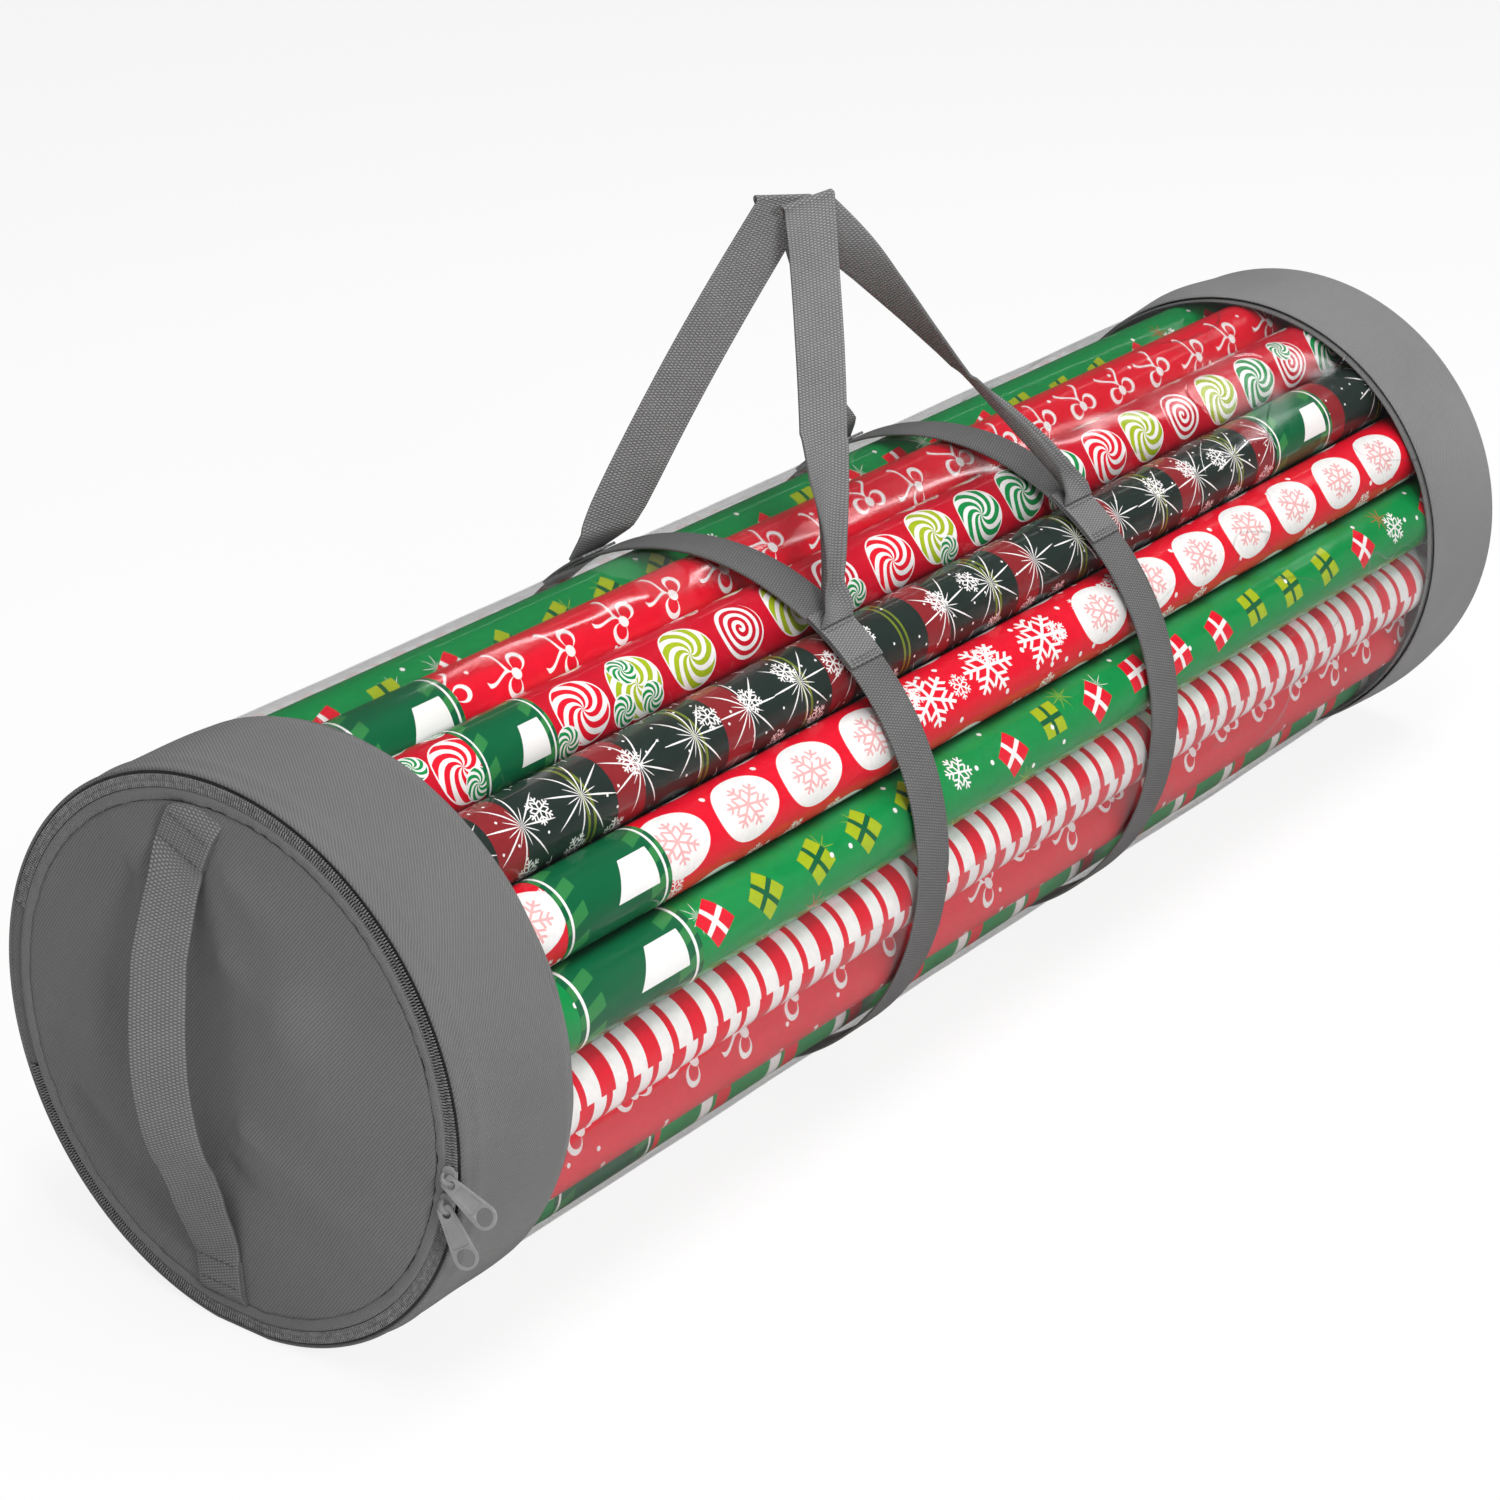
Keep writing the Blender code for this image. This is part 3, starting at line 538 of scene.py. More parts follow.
# The closed end is a round of the same twill, pushed out a little by the rolls,
# with a fold of binding over the seam where it meets the band.
REAR_EDGE_X = span_of("rear_piping")[0]
REAR_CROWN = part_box("rear_panel")[1].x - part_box("rear_piping")[1].x
REAR_PANEL_RADIUS = radius_of("rear_panel")
PIPING_RADIUS = radius_of("rear_piping")
PIPING_MIDDLE = REAR_EDGE_X + 0.002
PIPING_DEPTH = 0.0019
PIPING_REACH = 0.0020
PIPING_STITCHES = 160
PANEL_WALL = 0.0012


def soft_folds(across, up, folds):
    """Height of soft folds at a place, each a line from one end to the other."""
    height = 0.0
    for (y0, z0, y1, z1, width, depth) in folds:
        start, end, here = Vector((y0, z0)), Vector((y1, z1)), Vector((across, up))
        span = end - start
        share = min(max((here - start).dot(span) / span.length_squared, 0), 1)
        apart = (here - start - span * share).length
        taper = 1 - 0.75 * share
        height += depth * taper * math.exp(-(apart / (width * (0.55 + 0.9 * share))) ** 2)
    return height


def make_rear_panel():
    """A crowned round with faint radial drawing-in along its seam."""
    rings = 36
    stations = []
    for index in range(rings + 1):
        share = index / rings
        crown = REAR_CROWN * (1 - share * share)
        stations.append((PIPING_MIDDLE + crown, REAR_PANEL_RADIUS * share))
    work = turn_strip(stations, 200)
    for vert in work.verts:
        radius = math.hypot(vert.co.y, vert.co.z)
        share = radius / REAR_PANEL_RADIUS
        drawn = 0.0007 * share ** 8 * noise.noise(Vector((angle_of(vert.co) * 9, share, 1)))
        drift = 0.0016 * (1 - share ** 4) * noise.noise(Vector((vert.co.y * 16, vert.co.z * 16, 5)))
        vert.co.x += drawn + drift
        settle(vert.co)
    map_flat(work)
    panel = set_out("rear_panel_cloth", work, rear_cloth, PANEL_WALL)
    hand_over(panel, "root", "rear_cloth", "rear_panel")


def make_rear_piping():
    """A fat fold of binding, fuller between its stitches."""
    centre = PIPING_RADIUS - PIPING_REACH
    turns = [math.tau * i / 12 for i in range(12)]
    profile = [(PIPING_MIDDLE + PIPING_DEPTH * math.cos(turn), centre + PIPING_REACH * math.sin(turn))
               for turn in turns]
    work = turn_strip(profile, 300, closed=True)
    for vert in work.verts:
        pinch = 1 + 0.0010 * math.sin(angle_of(vert.co) * PIPING_STITCHES)
        vert.co.y, vert.co.z = vert.co.y * pinch, vert.co.z * pinch
        settle(vert.co)
    map_wrapped(work, PIPING_RADIUS)
    hand_over(set_out("rear_seam_piping", work, binding_cloth), "root", "binding_cloth", "rear_piping")


make_rear_panel()
make_rear_piping()

# Two girth straps of polypropylene webbing run right round the tube and are
# sewn to the film, so that the handles lift the load and not the vinyl.
WEBBING_WALL = 0.0016
WEBBING_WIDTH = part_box("girth_strap_front")[1].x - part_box("girth_strap_front")[0].x
GIRTH_GREY = (0.155, 0.155, 0.155, 1)
WEB_COLUMN = 0.00204
WEB_ROW = 0.00165
WEB_RELIEF = 0.0007
WEB_EDGE = WEBBING_WALL * 0.28


def make_web_weave():
    """Webbing: columns of short floats, each column half a row out of step."""
    inputs = {"Cloth": "Vector", "Colour": "Color"}
    tree, given, result = open_group("web_weave", inputs, {"Colour": "Color", "Height": "Float"})
    place = parted(tree, given["Cloth"])
    uneven = speckle(tree, given["Cloth"], 330.0, 2.0)
    patches = speckle(tree, given["Cloth"], 40.0, 3.0)
    column = maths(tree, "DIVIDE", place[0], WEB_COLUMN)
    number = maths(tree, "FLOOR", column)
    across = maths(tree, "SINE", maths(tree, "MULTIPLY", column, math.pi))
    across = maths(tree, "POWER", maths(tree, "ABSOLUTE", across), 0.6)
    row = maths(tree, "MULTIPLY_ADD", place[1], 1 / WEB_ROW, maths(tree, "MULTIPLY", number, 0.5))
    row = maths(tree, "MULTIPLY_ADD", uneven, 0.35, row)
    along = maths(tree, "SINE", maths(tree, "MULTIPLY", row, math.pi))
    along = maths(tree, "MULTIPLY", along, along)
    height = maths(tree, "MULTIPLY", across, along)
    share = maths(tree, "MULTIPLY_ADD", height, 0.80, 0.42)
    share = maths(tree, "MULTIPLY_ADD", patches, 0.20, share)
    tree.links.new(shaded(tree, given["Colour"], share), result["Colour"])
    tree.links.new(height, result["Height"])
    return tree


def web_finish(name, grey):
    """Coarse webbing with a slight sheen on its floats."""
    finish, tree, shader = new_finish(name, 0.66, Specular_IOR_Level=0.3)
    inputs = {"Cloth": cloth_map(tree), "Colour": grey}
    weave = wire(tree, "Group", inputs, node_tree=web_weave).outputs
    tree.links.new(weave["Colour"], shader.inputs["Base Color"])
    raise_surface(tree, shader, weave["Height"], WEB_RELIEF, 0.6)
    return finish


web_weave = make_web_weave()
girth_webbing = web_finish("girth_webbing", GIRTH_GREY)


def make_girth_straps():
    """Flat rings of webbing with round edges that waver a little."""
    half, outer, inner = WEBBING_WIDTH / 2, STRAP_RADIUS, STRAP_RADIUS - WEBBING_WALL
    flat_width = 2 * half - 2 * WEB_EDGE
    for end, centre in zip(("front", "rear"), STRAP_PLACES):
        start, stop = centre - half, centre + half
        flat = [(start + WEB_EDGE + flat_width * i / 6, outer) for i in range(7)]
        profile = flat + [(stop, outer - WEB_EDGE), (stop, inner + WEB_EDGE), (stop - WEB_EDGE, inner),
                          (start + WEB_EDGE, inner), (start, inner + WEB_EDGE), (start, outer - WEB_EDGE)]
        work = turn_strip(profile, 240, closed=True)
        for vert in work.verts:
            angle = angle_of(vert.co)
            vert.co.x += 0.0009 * noise.noise(Vector((angle * 2.2, centre, 0)))
            loose = max(0, noise.noise(Vector((angle * 3, centre + 9, 0))))
            lift = 1 + 0.003 * loose * (vert.co.z > -0.1)
            vert.co.y, vert.co.z = vert.co.y * lift, vert.co.z * lift
            settle(vert.co)
        map_wrapped(work, STRAP_RADIUS)
        strap = set_out(end + "_girth_webbing", work, girth_webbing)
        hand_over(strap, "root", "webbing", "girth_strap_" + end)


make_girth_straps()

# The zip runs round the rim from one side of the hinge to the other. It is a
# nylon coil on each of two woven tapes, sewn to the lid and to the band.
TEETH_FRONT, TEETH_BACK = span_of("zip_teeth_lid_side")
CHAIN_OUTER = BAG_PLACE.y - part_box("zip_teeth_band_side")[0].y
CHAIN_WIDTH = 0.0062
CHAIN_RADIUS = CHAIN_OUTER - CHAIN_WIDTH / 2
HINGE_HALF_ANGLE = math.radians(18.0)
COIL_PITCH = 0.0015
COIL_LOOP = (0.00185, 0.00046, 0.00090)
COIL_END_GAP = math.radians(0.3)
TAPE_CORD = 0.0012
TAPE_NICK = 0.0010
TAPE_REACH = 0.0051
TAPE_CLEARANCE = 0.0013
ZIP_STEPS = 240
# The tape is darkened well below the coil's grey: painted shade, for the shadow in the narrow gap between
# the band's fold and the chain.
TAPE_PAINTED_SHADE_GREY = (0.070, 0.070, 0.070, 1)
COIL_GREY = (0.20, 0.20, 0.20, 1)


def make_tape_finish():
    """Zip tape: fine cords along the tape, nicked by the sewing."""
    finish, tree, shader = new_finish("zip_tape_weave", 0.78, Specular_IOR_Level=0.25)
    place = parted(tree, cloth_map(tree))
    cord = maths(tree, "SINE", maths(tree, "MULTIPLY", place[0], math.tau / TAPE_CORD))
    nick = maths(tree, "SINE", maths(tree, "MULTIPLY", place[1], math.tau / TAPE_NICK))
    height = maths(tree, "MULTIPLY_ADD", maths(tree, "MULTIPLY", cord, nick), 0.5, 0.5)
    share = maths(tree, "MULTIPLY_ADD", height, 0.45, 0.70)
    # The dark tape grey is painted shade.
    tree.links.new(shaded(tree, TAPE_PAINTED_SHADE_GREY, share), shader.inputs["Base Color"])
    raise_surface(tree, shader, height, 0.0003, 0.7)
    return finish


def face_front(work):
    """Turn the faces of a flat or crowned piece so that they look out past the lid."""
    for face in work.faces:
        face.normal_update()
        if face.normal.x > 0:
            face.normal_flip()


def make_zip_tapes():
    """Each tape is a flat ring, open at the hinge, a fold of cloth thick."""
    sweep = math.tau - 2 * HINGE_HALF_ANGLE
    for side, body in (("lid", "lid"), ("band", "root")):
        node = f"zip_tape_{side}_side"
        low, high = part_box(node)
        front = low.x - BAG_PLACE.x
        outer = BAG_PLACE.y - low.y
        inner = CHAIN_RADIUS + TAPE_CLEARANCE
        if side == "lid":
            inner = CHAIN_RADIUS - CHAIN_WIDTH / 2 - TAPE_REACH
        profile = [(front, inner + (outer - inner) * i / 5) for i in range(6)]
        work = turn_strip(profile, ZIP_STEPS, HINGE_HALF_ANGLE, sweep)
        layer = work.loops.layers.uv.new("cloth")
        for face in work.faces:
            for loop, angle in corners_round(face):
                radius = math.hypot(loop.vert.co.y, loop.vert.co.z)
                loop[layer].uv = (radius, angle * CHAIN_RADIUS)
        face_front(work)
        for vert in work.verts:
            settle(vert.co)
        tape = set_out(f"zip_tape_on_{side}", work, zip_tape, high.x - low.x)
        hand_over(tape, body, "zip_tape", node)


def make_coils():
    """Two rows of coil loops that mesh at the middle of the chain, with their sewing."""
    start = HINGE_HALF_ANGLE + COIL_END_GAP
    sweep = math.tau - 2 * start
    count = int(sweep * CHAIN_RADIUS / COIL_PITCH)
    long, thin, deep = COIL_LOOP
    front = (TEETH_FRONT + TEETH_BACK) / 2
    stand = Matrix.Rotation(math.pi / 2, 4, "X")
    for side, body, sign in (("lid", "lid", -1), ("band", "root", 1)):
        work = bmesh.new()
        centre = CHAIN_RADIUS + sign * (long - 0.0004)
        seam = CHAIN_RADIUS + sign * (long * 2 - 0.0009)
        turn = Matrix.Rotation(start + sweep * (0.5 + 0.25 * sign) / count, 4, "X")
        loop_size = Matrix.Diagonal((deep, long, thin, 1))
        loop = turn @ Matrix.Translation((front, centre, 0)) @ loop_size
        sewn_size = Matrix.Diagonal((deep * 0.72, thin, thin * 1.15, 1))
        sewn = turn @ Matrix.Translation((front - 0.0004, seam, 0)) @ sewn_size
        bmesh.ops.create_uvsphere(work, u_segments=6, v_segments=5, radius=1, matrix=loop @ stand)
        bmesh.ops.create_uvsphere(work, u_segments=5, v_segments=4, radius=1, matrix=sewn @ stand)
        bmesh.ops.spin(work, geom=work.verts[:] + work.edges[:] + work.faces[:], cent=(0, 0, 0),
                       axis=(1, 0, 0), angle=sweep * (count - 1) / count, steps=count - 1,
                       use_duplicate=True)
        for vert in work.verts:
            settle(vert.co)
        coil = set_out(f"zip_coil_on_{side}", work, zip_nylon)
        hand_over(coil, body, "zip_teeth", f"zip_teeth_{side}_side")


def make_nylon_finish():
    """Satin nylon monofilament, paler where the loops rub."""
    finish, tree, shader = new_finish("zip_nylon", 0.42)
    rubbed = speckle(tree, object_place(tree), 420.0, 2.0)
    share = spread(tree, rubbed, 0.3, 0.7, 0.75, 1.3)
    tree.links.new(shaded(tree, COIL_GREY, share), shader.inputs["Base Color"])
    raise_surface(tree, shader, rubbed, 0.0002, 0.4)
    return finish


zip_tape = make_tape_finish()
zip_nylon = make_nylon_finish()
make_zip_tapes()
make_coils()

# The lid swings on the cloth between the two ends of the zip. It is one piece
# of twill, sewn to the band outside and to the lid's facing inside.
GUSSET_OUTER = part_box("hinge_gusset_band_side")[1].y - BAG_PLACE.y
GUSSET_INNER = 0.1352
HINGE_Y = next(joint for joint in frame["joints"] if joint["name"] == "lid_hinge")["pos_m"][1]
GUSSET_BEND = 0.0026
GUSSET_HALF_ANGLE = HINGE_HALF_ANGLE + math.radians(0.5)
GUSSET_ROWS = 14
GUSSET_WALL = 0.0007


def bend_over(piece, finish_slot, child, start, end, *nodes):
    """Fix a piece's shape, hide the solids it stands for and bake its place into its mesh. The moving body
    and the bend's two edges are not used.
    """
    bpy.context.view_layer.objects.active = piece
    with bpy.context.temp_override(object=piece, active_object=piece):
        for name in [modifier.name for modifier in piece.modifiers]:
            bpy.ops.object.modifier_apply(modifier=name)
    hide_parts(*nodes)
    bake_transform(piece)


def make_hinge_gusset():
    """A short curved strip across the hinge, where the lid turns."""
    front = span_of("hinge_gusset_lid_side")[0] - 0.0003
    width = GUSSET_OUTER - GUSSET_INNER
    profile = [(front, GUSSET_INNER + width * i / GUSSET_ROWS) for i in range(GUSSET_ROWS + 1)]
    work = turn_strip(profile, 40, -GUSSET_HALF_ANGLE, 2 * GUSSET_HALF_ANGLE)
    face_front(work)
    for vert in work.verts:
        vert.co.x += 0.0004 * noise.noise(Vector((0, vert.co.y * 90, vert.co.z * 60)))
    map_flat(work)
    gusset = set_out("hinge_gusset_cloth", work, band_cloth, GUSSET_WALL)
    fixed_edge = (BAG_PLACE.x, HINGE_Y + GUSSET_BEND / 2, BAG_PLACE.z)
    moving_edge = (BAG_PLACE.x, HINGE_Y - GUSSET_BEND / 2, BAG_PLACE.z)
    bend_over(gusset, "band_cloth", "lid", fixed_edge, moving_edge,
              "hinge_gusset_band_side", "hinge_gusset_lid_side")


make_hinge_gusset()

# The lid is a round of twill, gathered a little where a narrow folded facing
# joins it to the zip. The rolls behind push it out in a low crown.
PANEL_RADIUS = radius_of("lid_panel")
PANEL_FRONT = span_of("lid_panel")[0]
PANEL_EDGE = span_of("lid_facing")[0] / 2
PANEL_RINGS = 64
FACING_OUTER = radius_of("lid_facing")
FACING_BACK = 0.0011
FACING_PITCH = TWILL_PITCH * 0.7
# The lid takes the bands' twill in a slightly lighter grey, set to how bright the lid looks under this
# light: painted light.
LID_PAINTED_LIGHT_GREY = (0.145, 0.145, 0.145, 1)
FACING_GREY = (0.158, 0.158, 0.158, 1)
LID_FOLDS = (
    (0.020, 0.092, 0.004, -0.096, 0.026, -0.0075),
    (-0.054, 0.050, -0.066, -0.040, 0.034, 0.0075),
    (0.080, 0.012, 0.070, -0.052, 0.028, 0.0050),
    (0.056, 0.084, 0.078, 0.040, 0.014, -0.0060),
    (0.108, 0.068, 0.078, 0.070, 0.009, -0.0030),
    (0.040, 0.106, 0.068, 0.096, 0.013, 0.0045),
    (-0.016, 0.104, -0.082, 0.070, 0.016, 0.0045),
    (-0.010, 0.062, -0.092, 0.012, 0.013, 0.0026),
    (-0.020, -0.026, -0.108, -0.066, 0.013, 0.0034),
    (-0.006, -0.056, -0.092, -0.094, 0.016, -0.0040),
    (0.104, -0.050, 0.044, -0.094, 0.016, -0.0060),
    (0.078, -0.096, 0.040, -0.118, 0.013, 0.0040),
    (-0.122, -0.008, -0.098, -0.002, 0.008, -0.0022),
    (-0.114, -0.056, -0.084, -0.040, 0.008, -0.0026),
    (-0.104, 0.070, -0.080, 0.052, 0.009, -0.0022),
    (0.122, -0.016, 0.100, -0.010, 0.009, -0.0024),
)


def panel_face(across, up):
    """How far forward the lid panel stands at a place, folds and puckers included."""
    radius = math.hypot(across, up)
    share = min(radius / PANEL_RADIUS, 1)
    angle = math.atan2(up, across)
    crown = PANEL_FRONT + (PANEL_EDGE - PANEL_FRONT) * share * share
    free = 1 - share ** 6
    drift = 0.0026 * noise.noise(Vector((across * 15, up * 15, 3)))
    pucker = 0.0007 * share ** 14 * noise.noise(Vector((angle * 11, share * 2, 8)))
    return crown - free * (soft_folds(across, up, LID_FOLDS) - drift) + pucker


def make_lid_panel():
    """The round itself."""
    stations = [(0.0, PANEL_RADIUS * index / PANEL_RINGS) for index in range(PANEL_RINGS + 1)]
    work = turn_strip(stations, 220)
    for vert in work.verts:
        vert.co.x = panel_face(vert.co.y, vert.co.z)
        settle(vert.co)
    face_front(work)
    map_flat(work)
    panel = set_out("lid_panel_cloth", work, lid_cloth, PANEL_WALL)
    hand_over(panel, "lid", "lid_cloth", "lid_panel")


def make_lid_facing():
    """A flat folded ring, fuller at its outer edge and puckered along the inner seam."""
    low, high = PANEL_RADIUS - 0.0001, FACING_OUTER
    shares = (0.0, 0.1, 0.3, 0.55, 0.8, 0.95, 1.0)
    lifts = (-0.0004, 0.0004, 0.0010, 0.0012, 0.0011, 0.0006, -0.0004)
    top = [(-lift, low + (high - low) * share) for share, lift in zip(shares, lifts)]
    profile = top + [(FACING_BACK, high), (FACING_BACK, low)]
    work = turn_strip(profile, 420, closed=True)
    for vert in work.verts:
        angle = angle_of(vert.co)
        inner = 1 - (math.hypot(vert.co.y, vert.co.z) - low) / (high - low)
        pucker = abs(noise.noise(Vector((angle * 15, 0, 2)))) ** 0.8
        fine = noise.noise(Vector((angle * 60, inner * 2, 5)))
        if vert.co.x < 0.0005:
            vert.co.x += inner * (0.0020 * pucker + 0.0006 * fine) - 0.0002
        wander = 1 + inner * 0.004 * noise.noise(Vector((angle * 9, 7, 2)))
        vert.co.y, vert.co.z = vert.co.y * wander, vert.co.z * wander
        settle(vert.co)
    map_flat(work)
    hand_over(set_out("lid_facing_fold", work, facing_cloth), "lid", "lid_cloth", "lid_facing")


# The lid's twill is painted a little lighter than the bands': painted light.
lid_cloth = twill_cloth("lid_twill_painted_light", LID_PAINTED_LIGHT_GREY)
facing_cloth = twill_cloth("facing_twill", FACING_GREY, FACING_PITCH)
make_lid_panel()
make_lid_facing()

# The lid's grab strap is a length of the webbing. Both ends are sewn flat to
# the panel, and the middle stands off far enough for a hand.
grab_low, grab_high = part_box("lid_grab_handle")
GRAB_REACH = PANEL_RADIUS - 0.0004
GRAB_SEAM_DIP = 0.006
GRAB_BULGE = 0.027
GRAB_TAB_LENGTH = 0.025
GRAB_ROLL = 0.46
GRAB_TOP_Y = grab_high.y - WEBBING_WIDTH / 2 - BAG_PLACE.y
GRAB_BOTTOM_Y = grab_low.y + WEBBING_WIDTH / 2 - BAG_PLACE.y
# The grab strap and the carry handles take the girth straps' webbing in a lighter grey: painted light, as
# they face the light more.
STRAP_PAINTED_LIGHT_GREY = (0.207, 0.207, 0.207, 1)
THREAD_GREY = (0.10, 0.10, 0.10, 1)
GRAB_DRIFT = ((0, -0.0085), (0.095, 0.0040), (0.17, 0.0038), (0.26, 0.0024), (0.34, 0.0012),
              (0.44, 0.0004), (0.56, 0.0006), (0.68, 0.0026), (0.80, 0.0058), (0.90, 0.0072), (1, 0.0074))
GRAB_BARS = {"top": (0.42, 0.93), "bottom": (0.07, 0.58)}
THREAD_RADIUS = 0.00038
STITCH_LENGTH = 0.0024
STITCH_GAP = 0.0009


def read_off(table, place):
    """Read a table of places and values, in straight steps from one to the next."""
    for (start, low), (end, high) in zip(table, table[1:]):
        if place <= end:
            return low + (high - low) * (place - start) / (end - start)
    return table[-1][1]


def lay_webbing(name, path, steps, across=8, within=0.0):
    """A strap laid along a path of centres, half widths and cupping, mapped in metres."""
    stops = [path(index / steps) for index in range(steps + 1)]
    lengths = [0.0]
    for here, there in zip(stops, stops[1:]):
        lengths.append(lengths[-1] + (there[0] - here[0]).length)
    work = bmesh.new()
    bmesh.ops.create_grid(work, x_segments=across, y_segments=steps, size=0.5)
    layer = work.loops.layers.uv.new("cloth")
    spots = {vert: (vert.co.x, round((vert.co.y + 0.5) * steps)) for vert in work.verts}
    for face in work.faces:
        for loop in face.loops:
            side, stop = spots[loop.vert]
            loop[layer].uv = (side * WEBBING_WIDTH, lengths[stop])
    for vert, (side, stop) in spots.items():
        centre, half, cup = stops[stop]
        vert.co = centre + half * side * 2 + cup * (side * 2) ** 2
        if within and math.hypot(vert.co.y, vert.co.z) > within:
            vert.co.z = math.copysign(math.sqrt(within ** 2 - vert.co.y ** 2), vert.co.z)
    return set_out(name, work, webbing, WEBBING_WALL, 0.0, WEB_EDGE)


def sew(name, bars, body):
    """Bars of thread from point to point, as one piece of short fat stitches."""
    work = bmesh.new()
    stitch = Matrix.Diagonal((THREAD_RADIUS, THREAD_RADIUS, STITCH_LENGTH / 2, 1))
    for start, end in bars:
        span = end - start
        turn = span.to_track_quat("Z", "Y").to_matrix().to_4x4()
        count = max(1, round(span.length / (STITCH_LENGTH + STITCH_GAP)))
        for index in range(count):
            middle = Matrix.Translation(start + span * (index + 0.5) / count)
            bmesh.ops.create_uvsphere(work, u_segments=6, v_segments=5, radius=1,
                                      matrix=middle @ turn @ stitch)
    hand_over(set_out(name, work, sewing_thread), body, "webbing")


def make_thread_finish():
    """Twisted polyester thread, darker than the webbing."""
    finish, tree, shader = new_finish("sewing_thread", 0.55)
    inputs = {"Vector": object_place(tree), "Scale": 900.0, "Distortion": 2.0}
    twist = wire(tree, "TexWave", inputs).outputs[1]
    share = spread(tree, twist, 0.0, 1.0, 0.8, 1.25)
    tree.links.new(shaded(tree, THREAD_GREY, share), shader.inputs["Base Color"])
    raise_surface(tree, shader, twist, 0.0002, 0.5)
    return finish


def grab_point(share, lift):
    """A centre on the strap's line down the lid, at a height over the panel under it."""
    up = GRAB_REACH * (1 - 2 * share)
    buried = min(share, 1 - share) * 2 * GRAB_REACH / GRAB_SEAM_DIP
    lift = lift * min(buried, 1) - 0.0006 * max(0, 1 - buried)
    across = GRAB_TOP_Y + (GRAB_BOTTOM_Y - GRAB_TOP_Y) * share + read_off(GRAB_DRIFT, share)
    half = WEBBING_WIDTH / 2
    ahead = min(panel_face(across + side * half, up) for side in (-1, -0.5, 0, 0.5, 1))
    return Vector((ahead - 0.0003 - lift, across, up))


def grab_path(share):
    """The strap: flat on its tabs, then standing off in one long wave with a slight roll."""
    tab = GRAB_TAB_LENGTH / GRAB_REACH / 2
    slack = min(max((share - tab) / (1 - 2 * tab), 0), 1)
    bulge = GRAB_BULGE * math.sin(math.pi * slack ** 0.92) ** 1.3
    centre = grab_point(share, WEBBING_WALL * 1.5 + 0.0003 + bulge)
    roll = -GRAB_ROLL * math.sin(math.pi * slack) ** 0.45
    half = Vector((math.sin(roll), math.cos(roll), grab_lean(share))) * WEBBING_WIDTH / 2
    return centre + Vector((0, 0.0018 * math.sin(math.tau * slack), 0)), half, Vector((0, 0, 0))


def grab_lean(share):
    """How far the strap's width tips as it crosses the lid aslant near its ends."""
    return 0.44 * min(max((0.15 - share) / 0.06, 0), 1)


def make_grab_handle():
    """The strap, the two sewn ends under it and the stitches that hold them."""
    strap = lay_webbing("lid_grab_webbing", grab_path, 110, within=GRAB_REACH)
    hand_over(strap, "lid", "webbing", "lid_grab_handle")
    tab = GRAB_TAB_LENGTH / GRAB_REACH / 2
    rows = []
    for end, start in (("top", 0.0), ("bottom", 1.0 - tab)):
        def tab_path(share, start=start):
            flat = Vector((0, 1, grab_lean(start + tab * share))) * WEBBING_WIDTH / 2
            return grab_point(start + tab * share, WEBBING_WALL / 2), flat, Vector((0, 0, 0))
        tab_strap = lay_webbing(f"grab_{end}_tab_webbing", tab_path, 12, within=GRAB_REACH)
        hand_over(tab_strap, "lid", "webbing", f"grab_handle_{end}_tab")
        for share in GRAB_BARS[end]:
            centre = grab_point(start + tab * share, WEBBING_WALL * 2 + 0.0005)
            reach = Vector((0, 1, grab_lean(start + tab * share))) * (WEBBING_WIDTH / 2 - 0.0022)
            rows.append((centre - reach, centre + reach))
    sew("grab_handle_stitches", rows, "lid")


# This webbing is painted lighter than the girth straps': painted light.
webbing = web_finish("strap_webbing_painted_light", STRAP_PAINTED_LIGHT_GREY)
sewing_thread = make_thread_finish()
make_grab_handle()

# Two painted metal sliders ride on the coil, nose to nose. Each has a bowed
# bridge on its face, and a flat pull with a round eye hangs from the bridge.
SLIDER_LENGTH = 0.0116
SLIDER_WIDTH = 0.0084
SLIDER_PLATE = 0.0013
SLIDER_ANGLES = {"upper": math.radians(185.0), "lower": math.radians(191.0)}
PULL_ANGLES = {"upper": math.radians(206.0), "lower": math.radians(240.0)}
PULL_LENGTH = 0.0315
PULL_ROLL = math.radians(-32.0)
PULL_WALL = 0.0015
PULL_NECK = 0.0070
PULL_CORNER = 0.0012
PULL_START = -0.00075
PULL_EYE = 0.0060
PULL_HOLE = 0.0044
EYE_MIDDLE = PULL_LENGTH - PULL_EYE
SLOT_MIDDLE = 0.0036
SLOT_RADIUS = 0.0020
SLOT_START = 0.00075
FLANGE_HEIGHT = 0.0005
FLANGE_LENGTHS = (0.0045, 0.0036)
BRIDGE_INNER = 0.0027
BRIDGE_OUTER = 0.0041
BRIDGE_RISE = 1.10
BRIDGE_WIDTH = 0.0023
PAINT_GREY = (0.22, 0.22, 0.22, 1)


def make_paint_finish():
    """Grey paint on die-cast metal: satin, with specks, and its sharp raised edges painted lighter as a
    highlight.
    """
    finish, tree, shader = new_finish("zip_paint", 0.38)
    place = object_place(tree)
    specks = speckle(tree, place, 900.0, 3.0)
    patches = speckle(tree, place, 150.0, 3.0)
    # Painted highlight: the sharp raised edges are drawn lighter, as if lit.
    raised = wire(tree, "NewGeometry").outputs["Pointiness"]
    edges = spread(tree, raised, 0.50, 0.60, 0.0, 0.35)
    share = maths(tree, "ADD", spread(tree, patches, 0.3, 0.7, 0.88, 1.1), edges)
    tree.links.new(shaded(tree, PAINT_GREY, share), shader.inputs["Base Color"])
    tree.links.new(spread(tree, patches, 0.3, 0.7, 0.30, 0.46), shader.inputs["Roughness"])
    raise_surface(tree, shader, specks, 0.0001, 0.35)
    return finish


